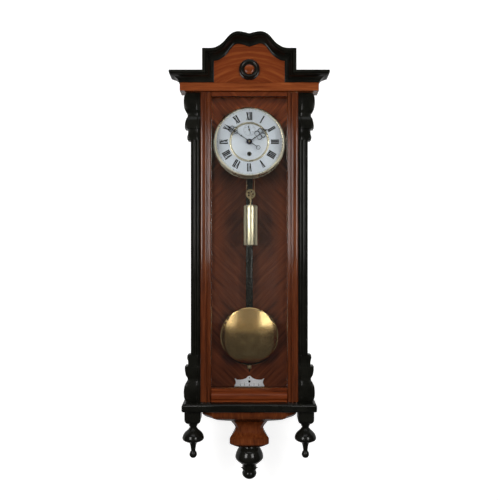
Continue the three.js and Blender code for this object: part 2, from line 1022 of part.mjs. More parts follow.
// The door: two stiles, two rails, a pane and a pin pivot at the top and foot of its right stile.
function addDoor() {
  const door = new THREE.Group();
  root.add(door);
  const openingHalf = caseHalf - stileWidth;
  const rear = -doorDepth + doorThickness;
  const cornerSteps = [0, 0.25, 0.5, 0.75, 1].map((share) => share * quarter);
  const pivotPlate = (sign) => {
    const seat = sign > 0 ? doorTop : doorBottom;
    const near = seat + sign * seatGap;
    const far = near - sign * pivotPlateThickness;
    const plate = box(
      [pivotX - pivotPlateLength, pivotY - pivotPlateMargin, Math.min(near, far)],
      [pivotX + pivotPlateMargin, pivotY + pivotPlateDepth, Math.max(near, far)],
    );
    const bearing = sign > 0 ? friezeBottom : floorHeight;
    const tip = bearing + sign * pivotPinLength;
    const pin = rodZ(pivotPinRadius, Math.min(far, tip), Math.max(far, tip));
    const pocketFloor = far - sign * seatGap;
    const pocket = box(
      [
        pivotX - pivotPlateLength - seatGap,
        pivotY - pivotPlateMargin - seatGap,
        Math.min(pocketFloor, seat + sign * cutOverrun),
      ],
      [
        pivotX + pivotPlateMargin + seatGap,
        pivotY + pivotPlateDepth + seatGap,
        Math.max(pocketFloor, seat + sign * cutOverrun),
      ],
    );
    return { made: join(plate, at(pin, pivotX, pivotY, 0)), pocket };
  };
  const topPivot = pivotPlate(1);
  const footPivot = pivotPlate(-1);

  for (const [name, sign] of [
    ["left", -1],
    ["right", 1],
  ]) {
    const rounded = cornerSteps.map((turn) => [
      sign * (caseHalf - doorEdgeRadius * (1 - Math.cos(turn))),
      -doorDepth + doorEdgeRadius * (1 - Math.sin(turn)),
    ]);
    const face = stileSectionShares.map(([across, deep]) => [
      sign * (caseHalf - stileWidth * across),
      -doorDepth + doorThickness * deep,
    ]);
    const section = [
      [sign * (caseHalf - doorEdgeChamfer), rear],
      [sign * caseHalf, rear - doorEdgeChamfer],
      ...rounded,
      ...face,
      [sign * openingHalf, rear - doorRebateDepth],
      [sign * (openingHalf + doorRebate), rear - doorRebateDepth],
      [sign * (openingHalf + doorRebate), rear],
    ];
    const stile = postUp(shapeOf(section), doorBottom, doorTop);
    const cutStile = sign > 0 ? cut(stile, topPivot.pocket, footPivot.pocket) : stile;
    addPiece(door, "door_stile_" + name, cutStile, walnut);
  }

  const railHalf = openingHalf - seatGap;
  const bottomRailTop = doorBottom + bottomRailHeight;
  const bottomFace = bottomRailShares.map(([down, out]) => [
    -doorDepth - railMouldingReach * out,
    bottomRailTop - bottomRailHeight * down,
  ]);
  const bottomRail = railAlong(
    shapeOf([
      ...bottomFace,
      [rear, doorBottom],
      [rear, bottomRailTop - doorRebate],
      [rear - doorRebateDepth, bottomRailTop - doorRebate],
      [rear - doorRebateDepth, bottomRailTop],
    ]),
    -railHalf,
    railHalf,
  );
  addPiece(door, "door_bottom_rail", bottomRail, walnut);

  const topRailBottom = doorTop - topRailHeight;
  const topRebate = topRailHeight / 2;
  const topRail = railAlong(
    shapeOf([
      [-doorDepth, doorTop],
      [-doorDepth, topRailBottom],
      [rear - doorRebateDepth, topRailBottom],
      [rear - doorRebateDepth, topRailBottom + topRebate],
      [rear, topRailBottom + topRebate],
      [rear, doorTop],
    ]),
    -railHalf,
    railHalf,
  );
  addPiece(door, "door_top_rail", topRail, walnut);

  const paneHalf = openingHalf + doorRebate - seatGap;
  const paneFront = rear - doorRebateDepth + seatGap;
  const pane = box(
    [-paneHalf, paneFront, bottomRailTop - doorRebate + seatGap],
    [paneHalf, paneFront + doorGlassThickness, topRailBottom + topRebate - seatGap],
  );
  addPiece(door, "door_glass", pane, glass);
  addPiece(door, "door_pivot_top", topPivot.made, brass);
  addPiece(door, "door_pivot_foot", footPivot.made, brass);
}

// Everything below is placed from the dial's centre.
const movement = new THREE.Group();
movement.position.set(0, 0, dialHeight);
root.add(movement);

const backPlateFront = backPlateRear + plateThickness;
const frontPlateBack = frontPlateFront - plateThickness;
const pillarFoot = -backPlateFront;
const betweenFront = -frontPlateBack + seatGap;
const thirdUp = (thirdCentreDistance ** 2 - thirdEscapeDistance ** 2 + secondsRise ** 2) / (2 * secondsRise);
const thirdAcross = Math.sqrt(thirdCentreDistance ** 2 - thirdUp ** 2);
const greatModule = (2 * winderDrop) / (greatTeeth + leafCount);
const centreModule = (2 * thirdCentreDistance) / (centreTeeth + leafCount);
const thirdModule = (2 * thirdEscapeDistance) / (thirdTeeth + leafCount);
const cannonModule = (2 * motionDistance) / (cannonTeeth + minuteTeeth);
const hourModule = (2 * motionDistance) / (minuteLeaves + hourTeeth);
const pulleyPlace = pulleyPitchRadius - drumPitchRadius;
const linePostAcross = pulleyPlace + pulleyPitchRadius;
const linePostDown = plateBottom - linePostRadius * linePostEdgeShare;
const squareTip = frontPlateFront + squareReach;

// The iron bracket on the backboard, with the cock that the pendulum hangs from,
// and the two brass plates that hold the train between them.
function addMovementFrame() {
  const seat = -backThickness - seatGap;
  const platePlane = seat - bracketPlateThickness;
  const half = bracketPlateWidth / 2;
  const wallFront = -backPlateRear + seatGap;
  const plate = box([-half, platePlane, -bracketPlateBottom], [half, seat, bracketPlateTop]);
  const walls = [-1, 1].map((sign) => {
    const [near, far] = [half - bracketWallThickness, half];
    return box(
      [Math.min(sign * near, sign * far), wallFront, -bracketWallBottom],
      [Math.max(sign * near, sign * far), seat, bracketWallTop],
    );
  });
  const cockBottom = anchorRise + arborRadius + springTop * cockSeatShare;
  const cock = box([-cockWidth / 2, -cockFront, cockBottom], [cockWidth / 2, seat, cockBottom + cockHeight]);
  const slot = box(
    [
      -springThickness / 2 - runGap * 2,
      -pendulumPlane - springWidth / 2 - runGap * 2,
      cockBottom - cutOverrun,
    ],
    [
      springThickness / 2 + runGap * 2,
      -pendulumPlane + springWidth / 2 + runGap * 2,
      anchorRise + springTop + runGap,
    ],
  );
  addPiece(movement, "movement_bracket", join(plate, ...walls, cut(cock, slot)), castIron);

  const hole = (radius, x, z, sides = smallSides) =>
    at(rodY(radius, -frontPlateFront - cutOverrun, -backPlateRear + cutOverrun, sides), x, 0, z);
  const pivotHole = (x, z) => hole(pivotRadius + runGap, x, z);
  const rear = cut(
    box([-plateWidth / 2, -backPlateFront, -plateBottom], [plateWidth / 2, -backPlateRear, plateTop]),
    pivotHole(0, 0),
    pivotHole(0, -winderDrop),
    pivotHole(0, secondsRise),
    pivotHole(thirdAcross, thirdUp),
    hole(arborRadius + runGap, 0, anchorRise),
  );
  const post = (radius, x, z) => at(rodY(radius, betweenFront, pillarFoot, smallSides), x, 0, z);
  const pillars = [
    [-pillarAcross, -pillarUp],
    [pillarAcross, -pillarUp],
    [-pillarAcross, pillarUp],
    [pillarAcross, pillarUp],
  ].map(([x, z]) => post(pillarRadius, x, z));
  const linePost = post(linePostRadius, linePostAcross, -linePostDown);
  addPiece(movement, "back_plate", join(rear, ...pillars, linePost), brass);

  const front = cut(
    box([-plateWidth / 2, -frontPlateFront, -plateBottom], [plateWidth / 2, -frontPlateBack, plateTop]),
    hole(arborRadius + runGap, 0, 0),
    hole(drumArborRadius + runGap, 0, -winderDrop),
    hole(arborRadius + runGap, 0, secondsRise),
    pivotHole(thirdAcross, thirdUp),
    pivotHole(0, anchorRise),
  );
  const stud = at(
    rodY(minuteStudRadius, -frontPlateFront - minuteStudLength, -frontPlateBack),
    -motionDistance,
    0,
    0,
  );
  addPiece(movement, "front_plate", join(front, stud), brass);
}

// A pointed-tooth outline: tip and root radii, and the share of the pitch that a tooth's foot fills.
function toothOutline(teeth, tip, rootRadius, footShare, turn = 0, lean = 0) {
  const points = [];
  for (let i = 0; i < teeth; i++) {
    const middle = ((i + turn) / teeth) * full;
    const halfFoot = ((footShare / 2) * full) / teeth;
    const tipTurn = middle + (lean * full) / teeth;
    points.push(
      [rootRadius * Math.cos(middle - halfFoot), rootRadius * Math.sin(middle - halfFoot)],
      [tip * Math.cos(tipTurn), tip * Math.sin(tipTurn)],
      [rootRadius * Math.cos(middle + halfFoot), rootRadius * Math.sin(middle + halfFoot)],
    );
  }
  return points;
}

const wheelAddendumShare = 0.85;
const wheelDedendumShare = 1.15;
const leafAddendumShare = 0.6;
const leafDedendumShare = 1.2;
const wheelFootShare = 0.6;
const leafFootShare = 0.5;
const escapeFootShare = 0.45;
const escapeLeanShare = 0.4;
const ratchetFootShare = 0.96;
const ratchetLeanShare = -0.4;

// A spoked wheel with its rim, crossings and hub.
function wheelSolid(teeth, module, front, thickness, turn, crossings, bore) {
  const pitch = (teeth * module) / 2;
  const rootRadius = pitch - module * wheelDedendumShare;
  const outline = shapeOf(
    toothOutline(teeth, pitch + module * wheelAddendumShare, rootRadius, wheelFootShare, turn),
  );
  const rimInner = rootRadius - wheelRim;
  for (let i = 0; i < crossings; i++) {
    const middle = (i / crossings) * full;
    const outerHalf = Math.PI / crossings - spokeWidth / 2 / rimInner;
    const innerHalfTurn = Math.PI / crossings - spokeWidth / 2 / hubRadius;
    const window = new THREE.Path();
    window.absarc(0, 0, rimInner, middle - outerHalf, middle + outerHalf, false);
    window.absarc(0, 0, hubRadius, middle + innerHalfTurn, middle - innerHalfTurn, true);
    window.closePath();
    outline.holes.push(window);
  }
  const wheel = slabAcross(outline, -front - thickness, -front, crossingSteps);
  return bore > 0 ? cut(wheel, rodY(bore, -front - thickness - cutOverrun, -front + cutOverrun)) : wheel;
}

// A pinion of pointed leaves.
function pinionSolid(leaves, module, front, length, turn) {
  const pitch = (leaves * module) / 2;
  const outline = toothOutline(
    leaves,
    pitch + module * leafAddendumShare,
    pitch - module * leafDedendumShare,
    leafFootShare,
    turn,
  );
  return slabAcross(shapeOf(outline), -front - length, -front);
}

// An arbor between the plates with a pivot at each end.
const arborSolid = (frontEnd, backEnd, radius = arborRadius) => rodY(radius, frontEnd, backEnd);
const rearPivot = () => rodY(pivotRadius, -backPlateFront - seatGap * 2, -backPlateFront + pivotReach);
const frontPivot = () => rodY(pivotRadius, -frontPlateBack - pivotReach, -frontPlateBack + seatGap * 2);

// The turn, in teeth, that puts a gap of a wheel on the line to its mate,
// and a tooth of the mate in that gap.
const facing = (teeth, towards) => (towards / full) * teeth;

// A train pinion that meshes with the wheel of that module and plane, with a leaf towards the wheel.
const leafPinion = (module, plane, towards) =>
  pinionSolid(leafCount, module, plane - pinionOverhang, pinionLength, facing(leafCount, towards));

// The going train: great wheel, centre wheel, third wheel and escape wheel.
function addTrain() {
  const back = -backPlateFront - seatGap;
  const toThird = Math.atan2(thirdUp, thirdAcross);
  const toSeconds = Math.atan2(secondsRise - thirdUp, -thirdAcross);
  const gap = 1 / 2;

  const centre = join(
    wheelSolid(
      centreTeeth,
      centreModule,
      centrePlane,
      wheelThickness,
      facing(centreTeeth, toThird) + gap,
      centreCrossings,
      0,
    ),
    arborSolid(-cannonPlane, back),
    rearPivot(),
    leafPinion(greatModule, greatPlane, -quarter),
    rodY(cannonRadius, -minuteHandPlane - handThickness * 2, -cannonPlane),
    pinionSolid(cannonTeeth, cannonModule, cannonPlane, minutePinionLength, facing(cannonTeeth, Math.PI)),
  );
  addPiece(movement, "centre_wheel", centre, brass);

  const great = join(
    wheelSolid(
      greatTeeth,
      greatModule,
      greatPlane,
      greatWheelThickness,
      facing(greatTeeth, quarter) + gap,
      greatCrossings,
      drumArborRadius + runGap,
    ),
    at(
      rodY(clickStudRadius, -greatPlane, -greatPlane + ratchetThickness + seatGap),
      -clickPivotRadius,
      0,
      0,
    ),
  );
  addPiece(movement, "great_wheel", great, brass, [0, 0, -winderDrop]);

  const thirdTurn = facing(thirdTeeth, toSeconds) + gap;
  const third = join(
    wheelSolid(thirdTeeth, thirdModule, thirdPlane, wheelThickness, thirdTurn, thirdCrossings, 0),
    arborSolid(-frontPlateBack + seatGap, back),
    rearPivot(),
    frontPivot(),
    leafPinion(centreModule, centrePlane, toThird + Math.PI),
  );
  addPiece(movement, "third_wheel", third, brass, [thirdAcross, 0, thirdUp]);

  const escapeRoot = escapeRadius - escapeToothDepth;
  const escapeOutline = shapeOf(
    toothOutline(escapeTeeth, escapeRadius, escapeRoot, escapeFootShare, 0, escapeLeanShare),
  );
  const escape = join(
    slabAcross(escapeOutline, -escapePlane - escapeThickness, -escapePlane),
    arborSolid(-dialPlateBack, back),
    rodY(pivotRadius, -secondsHandPlane - handThickness, -dialPlateBack),
    rearPivot(),
    leafPinion(thirdModule, thirdPlane, toSeconds + Math.PI),
  );
  addPiece(movement, "escape_wheel", escape, brass, [0, 0, secondsRise]);

  const minutePlane = cannonPlane + minuteWheelStep;
  const minuteBore = minuteStudRadius + runGap;
  const minuteWheel = join(
    wheelSolid(minuteTeeth, cannonModule, minutePlane, wheelThickness, gap, 0, minuteBore),
    cut(
      pinionSolid(minuteLeaves, hourModule, hourPlane - minutePinionStep, minutePinionLength, 0),
      rodY(minuteBore, -hourPlane - pinionLength, -cannonPlane),
    ),
  );
  addPiece(movement, "minute_wheel", minuteWheel, brass, [-motionDistance, 0, 0]);

  const pipeBore = cannonRadius + runGap;
  const pipeFront = -hourHandPlane - handThickness;
  const hourWheel = join(
    wheelSolid(hourTeeth, hourModule, hourPlane, wheelThickness / 2, gap, 0, pipeBore),
    ringY(pipeBore, pipeRadius, pipeFront, -hourPlane, smallSides),
  );
  addPiece(movement, "hour_wheel", hourWheel, brass);
}

// The click's boss, as a share of its width, and its arm:
// shares of its reach, of its width across and of its width upwards.
const clickBossShare = 0.75;
const clickArmShares = [
  [0, 0.5, 0.45],
  [0, 0.6, 0.1],
  [1, 0, -0.9],
  [1, -0.2, -1.5],
  [0, 0, -0.6],
];

// The drum with its ratchet and winding square, and the click that sits on the great wheel.
function addDrum() {
  const front = drumBack + drumLength;
  const barrelRadius = drumPitchRadius - lineRadius - seatGap;
  const ratchetFront = -greatPlane + seatGap;
  const profile = [
    [0, -front],
    [drumFlangeRadius, -front],
    [drumFlangeRadius, -front + drumFlange],
    [barrelRadius, -front + drumFlange],
    [barrelRadius, -drumBack - drumFlange],
    [drumFlangeRadius, -drumBack - drumFlange],
    [drumFlangeRadius, -drumBack],
    [0, -drumBack],
  ];
  const ratchetRoot = ratchetRadius - ratchetToothDepth;
  const ratchet = slabAcross(
    shapeOf(
      toothOutline(ratchetTeeth, ratchetRadius, ratchetRoot, ratchetFootShare, 0, ratchetLeanShare),
    ),
    ratchetFront,
    ratchetFront + ratchetThickness,
  );
  const half = squareSide / 2;
  const drum = join(
    turnedY(profile),
    ratchet,
    rodY(drumArborRadius, -frontPlateFront, -backPlateFront - seatGap),
    rearPivot(),
    box([-half, -squareTip, -half], [half, -frontPlateFront, half]),
  );
  addPiece(movement, "drum", drum, brass, [0, 0, -winderDrop]);

  const armEnd = ratchetRadius + seatGap * 2;
  const clickBack = ratchetFront + ratchetThickness - seatGap;
  const bossRadius = clickWidth * clickBossShare;
  const boss = ringY(clickStudRadius + runGap, bossRadius, ratchetFront, clickBack, smallSides);
  const arm = slabAcross(
    shapeOf(
      clickArmShares.map(([reach, across, down]) => [
        (clickPivotRadius - armEnd) * reach + clickWidth * across,
        clickWidth * down,
      ]),
    ),
    ratchetFront,
    clickBack,
  );
  const bore = rodY(clickStudRadius + runGap, ratchetFront - cutOverrun, clickBack + cutOverrun);
  addPiece(movement, "click", cut(join(boss, arm), bore), steel, [-clickPivotRadius, 0, -winderDrop]);
}

// The dial: a brass plate on four feet, an enamel chapter ring, a brass ring, an enamel centre and a bezel.
function addDial() {
  const plateFront = dialPlateBack + dialPlateThickness;
  const seat = plateFront + seatGap;
  const pipeHole = pipeRadius + pipeClearance;
  const holes = () => [
    rodY(pipeHole, -bezelFront, -frontPlateFront, turnedSides),
    at(rodY(windingHoleRadius, -bezelFront, -frontPlateFront, turnedSides), 0, 0, -winderDrop),
    at(rodY(arborRadius + runGap * 2, -bezelFront, -frontPlateFront), 0, 0, secondsRise),
  ];
  const feet = [
    [-pillarAcross, -pillarUp],
    [pillarAcross, -pillarUp],
    [-pillarAcross, pillarUp],
    [pillarAcross, pillarUp],
  ].map(([x, z]) => at(rodY(dialFootRadius, -dialPlateBack, -frontPlateFront - seatGap, lineSides), x, 0, z));
  const plate = cut(rodY(dialPlateRadius, -plateFront, -dialPlateBack, fineSides), ...holes());
  addPiece(movement, "dial_plate", join(plate, ...feet), brass);

  const ringEdge = chapterThickness * chapterEdgeShare;
  const chapter = turnedY(
    [
      [chapterInner, -seat],
      [chapterInner + ringEdge / 2, -seat - chapterThickness],
      [chapterOuter - ringEdge, -seat - chapterThickness + ringEdge / 2],
      [chapterOuter, -seat],
      [chapterInner, -seat],
    ],
    fineSides,
  );
  addPiece(movement, "chapter_ring", chapter, enamel);

  const ringOuter = chapterInner - seatGap;
  const ringMiddle = (ringOuter + innerRingInner) / 2;
  const beadHalf = (ringOuter - innerRingInner) / 2;
  const brassRing = turnedY(
    [
      [innerRingInner, -seat],
      [innerRingInner, -seat - innerRingThickness / 2],
      [ringMiddle - beadHalf / 2, -seat - innerRingThickness],
      [ringMiddle + beadHalf / 2, -seat - innerRingThickness],
      [ringOuter, -seat - innerRingThickness / 2],
      [ringOuter, -seat],
      [innerRingInner, -seat],
    ],
    fineSides,
  );
  addPiece(movement, "dial_inner_ring", brassRing, polishedBrass);

  const disc = rodY(innerRingInner - seatGap, -seat - centreDiscThickness, -seat, fineSides);
  addPiece(movement, "dial_centre", cut(disc, ...holes()), enamel);

  const lipBack = seat + chapterThickness + seatGap - ringEdge / 2;
  const bezel = turnedY(
    [
      [bezelLip, -lipBack],
      [bezelLip, -bezelFront + bezelWall / 2],
      [(bezelLip + bezelFrontRadius) / 2, -bezelFront],
      [bezelFrontRadius, -bezelFront + bezelWall / 2],
      [bezelBackRadius - bezelWall, -bezelBack - bezelWall],
      [bezelBackRadius, -bezelBack - bezelWall],
      [bezelBackRadius, -bezelBack],
      [bezelBackRadius - bezelWall * 2, -bezelBack],
      [bezelFrontRadius - bezelWall / 2, -lipBack],
      [bezelLip, -lipBack],
    ],
    fineSides,
  );
  addPiece(movement, "dial_bezel", bezel, polishedBrass);
}

// Flat shapes for the hands, drawn pointing up along Z from the hand's own centre.
const disc = (radius, x, z, front) => {
  const shape = new THREE.Shape();
  shape.absarc(x, z, radius, 0, full, false);
  return slabAcross(shape, -front - handThickness, -front);
};
const strip = (x0, z0, half0, x1, z1, half1, front) => {
  const [dx, dz] = [x1 - x0, z1 - z0];
  const length = Math.hypot(dx, dz);
  const [nx, nz] = [-dz / length, dx / length];
  const corners = [
    [x0 + nx * half0, z0 + nz * half0],
    [x1 + nx * half1, z1 + nz * half1],
    [x1 - nx * half1, z1 - nz * half1],
    [x0 - nx * half0, z0 - nz * half0],
  ];
  return slabAcross(shapeOf(corners), -front - handThickness, -front);
};
// Scroll loops of a pierced hand: share of the reach along it, share across it, share for the loop's radius.
const hourLoopShares = [
  [0.5, 0.1, 0.115],
  [0.5, -0.1, 0.115],
  [0.68, 0.13, 0.1],
  [0.68, -0.13, 0.1],
  [0.82, 0, 0.085],
];
const minuteLoopShares = [
  [0.5, 0, 0.05],
  [0.59, 0.045, 0.06],
  [0.59, -0.045, 0.06],
  [0.7, 0.03, 0.05],
  [0.7, -0.03, 0.05],
];

// Blades of the hands: share of the reach where one starts, share of the stem for half its width there,
// then the same two where it ends.
const hourBladeShares = [
  [0, 1, 0.45, 0.6],
  [0.42, 0.6, 0.8, 0.5],
  [0.86, 1.4, 1, 0.2],
];
const minuteBladeShares = [
  [0, 1, 0.52, 0.5],
  [0.5, 0.5, 0.78, 0.6],
  [0.76, 1, 1, 0.2],
];
const tailBladeShares = [[0, 1, 1, 0.5]];
const secondsBladeShares = [[0, 0.45, 1, 0.2]];
const secondsTailShares = [[0, 0.4, 1, 0.9]];
const minuteScrollShare = 0.9;
const tailRingShare = 0.16;
const tailWallShare = 0.8;
const blades = (reach, shares, front) =>
  shares.map(([start, first, end, last]) =>
    strip(0, reach * start, handStem * first, 0, reach * end, handStem * last, front),
  );

function addHands() {
  const clear = (radius) => rodY(radius, -bezelFront * 2, 0);
  const turned = (body, degrees) => body.rotate([0, degrees, 0]);
  const pierced = (reach, loops, front, stem) => {
    const rings = loops.map(([along, across, size]) => {
      const [x, z, radius] = [reach * across, reach * along, reach * size];
      const hole = at(rodY(radius - stem, -front - handThickness * 2, -front + handThickness), x, 0, z);
      return { whole: disc(radius, x, z, front), hole };
    });
    const bodies = rings.map(({ whole }) => whole);
    const holes = rings.map(({ hole }) => hole);
    return cut(join(...bodies), ...holes);
  };
  const hour = join(
    pierced(hourHandReach, hourLoopShares, hourHandPlane, handStem),
    ...blades(hourHandReach, hourBladeShares, hourHandPlane),
    disc(hourHub, 0, 0, hourHandPlane),
  );
  const hourHand = cut(hour, clear(pipeRadius + seatGap));
  addPiece(movement, "hour_hand", turned(hourHand, hourHandAngle), bluedSteel);

  const tailRing = minuteTailReach * tailRingShare;
  const tailCentre = -minuteTailReach + tailRing;
  const minute = join(
    pierced(minuteHandReach, minuteLoopShares, minuteHandPlane, handStem * minuteScrollShare),
    ...blades(minuteHandReach, minuteBladeShares, minuteHandPlane),
    ...blades(tailCentre + tailRing * tailWallShare, tailBladeShares, minuteHandPlane),
    cut(
      disc(tailRing, 0, tailCentre, minuteHandPlane),
      at(clear(tailRing - handStem * tailWallShare), 0, 0, tailCentre),
    ),
    disc(minuteHub, 0, 0, minuteHandPlane),
  );
  const minuteHand = cut(minute, clear(cannonRadius + seatGap));
  addPiece(movement, "minute_hand", turned(minuteHand, minuteHandAngle), bluedSteel);

  const seconds = join(
    ...blades(secondsHandReach, secondsBladeShares, secondsHandPlane),
    ...blades(-secondsTailReach, secondsTailShares, secondsHandPlane),
    disc(secondsHub, 0, 0, secondsHandPlane),
  );
  const secondsHand = cut(seconds, clear(pivotRadius + seatGap));
  addPiece(movement, "seconds_hand", turned(secondsHand, secondsHandAngle), bluedSteel, [0, 0, secondsRise]);
}

// The anchor's arms: the waist as a share of the pallet's width, the elbow and the shoulder as shares
// of the pallet's place.
const anchorWaistShare = 0.6;
const anchorElbowShares = [0.75, 0.55];
const anchorShoulderShare = 0.4;

// The anchor with its two pallets, its arbor and the crutch that straddles the pendulum rod.
function addAnchor() {
  const fall = anchorRise - secondsRise;
  const front = -escapePlane - escapeThickness / 2 - palletThickness / 2;
  const turn = THREE.MathUtils.degToRad(palletAngle);
  const near = escapeRadius + palletClear;
  const tip = [near * Math.sin(turn), -fall + near * Math.cos(turn)];
  const far = near + palletWidth;
  const heel = [far * Math.sin(turn), -fall + far * Math.cos(turn)];
  const arm = (sign) =>
    slabAcross(
      shapeOf([
        [0, palletWidth],
        [0, -palletWidth * anchorWaistShare],
        [sign * tip[0] * anchorElbowShares[0], tip[1] * anchorElbowShares[1]],
        [sign * tip[0], tip[1]],
        [sign * heel[0], heel[1]],
        [sign * heel[0], tip[1] * anchorShoulderShare],
      ]),
      front,
      front + palletThickness,
    );
  const crutchFront = -crutchPlane - crutchThickness;
  const prongInner = rodWidth / 2 + seatGap;
  const prongOuter = prongInner + crutchProng;
  const prongBack = -pendulumPlane + rodThickness / 2;
  const crutchFoot = -crutchLength;
  const prong = (sign) =>
    box(
      [Math.min(sign * prongInner, sign * prongOuter), crutchFront, crutchFoot - crutchWidth],
      [Math.max(sign * prongInner, sign * prongOuter), prongBack, crutchFoot],
    );
  const anchor = join(
    arm(-1),
    arm(1),
    rodY(palletWidth, front, front + palletThickness),
    rodY(arborRadius, -frontPlateBack + seatGap, -crutchPlane),
    frontPivot(),
    box(
      [-crutchWidth / 2, crutchFront, crutchFoot - crutchWidth],
      [crutchWidth / 2, -crutchPlane, crutchWidth],
    ),
    box([-prongOuter, crutchFront, crutchFoot - crutchWidth], [prongOuter, -crutchPlane, crutchFoot]),
    prong(-1),
    prong(1),
  );
  addPiece(movement, "anchor", anchor, steel, [0, 0, anchorRise]);
}

// The pendulum: suspension spring with its hook block, an ebonised rod, a brass lens bob and a rating nut.
const bobShares = [
  [0, 1],
  [0.35, 0.95],
  [0.62, 0.843],
  [0.82, 0.725],
  [0.94, 0.638],
  [0.985, 0.545],
  [1, 0.4],
  [1, 0.17],
  [0.96, 0],
];

function addPendulum() {
  const pendulum = new THREE.Group();
  pendulum.position.set(0, -pendulumPlane, dialHeight + anchorRise);
  root.add(pendulum);
  const spring = box(
    [-springThickness / 2, -springWidth / 2, -springBottom - cutOverrun],
    [springThickness / 2, springWidth / 2, springTop],
  );
  const block = box(
    [-hangerBlockWidth / 2, -hangerBlockThickness / 2, -rodTop + seatGap],
    [hangerBlockWidth / 2, hangerBlockThickness / 2, -springBottom],
  );
  addPiece(pendulum, "pendulum_hanger", join(spring, block), brass);

  const rod = join(
    box([-rodWidth / 2, -rodThickness / 2, -rodBottom], [rodWidth / 2, rodThickness / 2, -rodTop]),
    rodZ(threadRadius, -threadBottom, -rodBottom + cutOverrun),
  );
  addPiece(pendulum, "pendulum_rod", rod, ebonised);

  const lens = turnedY(
    [
      ...bobShares.map(([out, front]) => [bobRadius * out, -bobFront * front]),
      [bobRadius * bobShares.at(-1)[0], bobBack],
      [0, bobBack],
    ],
    fineSides,
  );
  const slotHalf = rodWidth / 2 + runGap;
  const slot = box(
    [-slotHalf, -rodThickness / 2 - runGap, -bobRadius - cutOverrun],
    [slotHalf, bobBack + cutOverrun, bobRadius + cutOverrun],
  );
  addPiece(pendulum, "pendulum_bob", cut(lens, slot), polishedBrass, [0, 0, -bobCentre]);

  const bore = threadRadius + runGap;
  const nutShares = [
    [0.75, 0],
    [0.75, 0.25],
    [1, 0.35],
    [1, 0.85],
    [0.9, 1],
  ];
  const nut = turnedZ([
    [bore, 0],
    ...nutShares.map(([out, down]) => [nutRadius * out, -nutHeight * down]),
    [bore, -nutHeight],
    [bore, 0],
  ]);
  addPiece(pendulum, "rating_nut", nut, brass, [0, 0, -bobCentre - bobRadius - seatGap]);
}

// The shell's cap as shares of its radius, and the holes through the pulley.
const shellCapShares = [0.3, 0.9];
const pulleyHoleShare = 0.3;
const pulleyHoleCount = 5;

// The weight: a brass shell round a lead core, a stirrup with its hook and a pierced pulley.
function addWeight() {
  const hanging = new THREE.Group();
  hanging.position.set(pulleyPlace, -shellPlane, pulleyHeight);
  root.add(hanging);
  const top = -shellDrop;
  const bottom = top - shellHeight;
  const inner = shellRadius - shellWall;
  const lip = shellWall * 2;
  const shell = turnedZ([
    [0, top],
    [shellRadius * shellCapShares[0], top],
    [shellRadius * shellCapShares[1], top - lip],
    [shellRadius, top - lip * 2],
    [shellRadius, bottom + shellWall],
    [shellRadius - shellWall / 2, bottom],
    [inner, bottom],
    [inner, top - lip * 2],
    [0, top - lip * 2],
  ]);
  addPiece(hanging, "weight_shell", shell, polishedBrass);
  const core = rodZ(inner - seatGap, bottom + shellWall, top - lip * 2 - seatGap, turnedSides);
  addPiece(hanging, "weight_core", core, lead);

  const cheekInner = pulleyHalfWidth + stirrupGap;
  const cheekOuter = cheekInner + stirrupThickness;
  const cheekHalf = stirrupWidth / 2;
  const cheek = (sign) =>
    box(
      [-cheekHalf, Math.min(sign * cheekInner, sign * cheekOuter), -stirrupDrop],
      [cheekHalf, Math.max(sign * cheekInner, sign * cheekOuter), cheekHalf + pulleyAxleRadius],
    );
  const stirrup = join(
    cheek(-1),
    cheek(1),
    box([-cheekHalf, -cheekOuter, -stirrupDrop - stirrupThickness], [cheekHalf, cheekOuter, -stirrupDrop]),
    rodY(pulleyAxleRadius, -cheekOuter - stirrupThickness, cheekOuter + stirrupThickness),
    rodZ(hookRadius, top + seatGap, -stirrupDrop),
    turnedZ([
      [0, top + seatGap],
      [hookRadius * 2, top + seatGap],
      [hookRadius * 2, top + seatGap + hookRadius],
      [0, top + seatGap + hookRadius * 2],
    ]),
  );
  addPiece(hanging, "pulley_stirrup", stirrup, brass);

  const groove = pulleyPitchRadius - lineRadius - seatGap;
  const rim = groove - wheelRim / 2;
  const bore = pulleyAxleRadius + runGap;
  const wheel = turnedY([
    [bore, -pulleyHalfWidth],
    [pulleyRadius, -pulleyHalfWidth],
    [pulleyRadius, -pulleyHalfWidth + seatGap],
    [groove, -lineRadius],
    [groove, lineRadius],
    [pulleyRadius, pulleyHalfWidth - seatGap],
    [pulleyRadius, pulleyHalfWidth],
    [bore, pulleyHalfWidth],
    [bore, -pulleyHalfWidth],
  ]);
  const pulleyHoleRadius = (rim - bore) * pulleyHoleShare;
  const holes = [...Array(pulleyHoleCount).keys()].map((i) => {
    const angle = (i / pulleyHoleCount) * full;
    const middle = (rim + bore) / 2 + pulleyHoleRadius / 3;
    return at(
      rodY(pulleyHoleRadius, -pulleyHalfWidth - cutOverrun, pulleyHalfWidth + cutOverrun, lineSides),
      middle * Math.cos(angle),
      0,
      middle * Math.sin(angle),
    );
  });
  addPiece(hanging, "pulley_wheel", cut(wheel, ...holes), brass);

}

// The line's straight runs and the half turn that passes under the pulley.
class LineRoute extends THREE.Curve {
  constructor(drumLevel, postLevel) {
    super();
    this.drumLevel = drumLevel;
    this.postLevel = postLevel;
    this.arc = Math.PI * pulleyPitchRadius;
    this.whole = drumLevel + this.arc + postLevel;
  }

  getPoint(share) {
    const along = share * this.whole;
    if (along < this.drumLevel) return new THREE.Vector3(-pulleyPitchRadius, 0, this.drumLevel - along);
    const turn = (along - this.drumLevel) / pulleyPitchRadius;
    if (turn < Math.PI) {
      return new THREE.Vector3(-pulleyPitchRadius * Math.cos(turn), 0, -pulleyPitchRadius * Math.sin(turn));
    }
    return new THREE.Vector3(pulleyPitchRadius, 0, along - this.drumLevel - this.arc);
  }
}

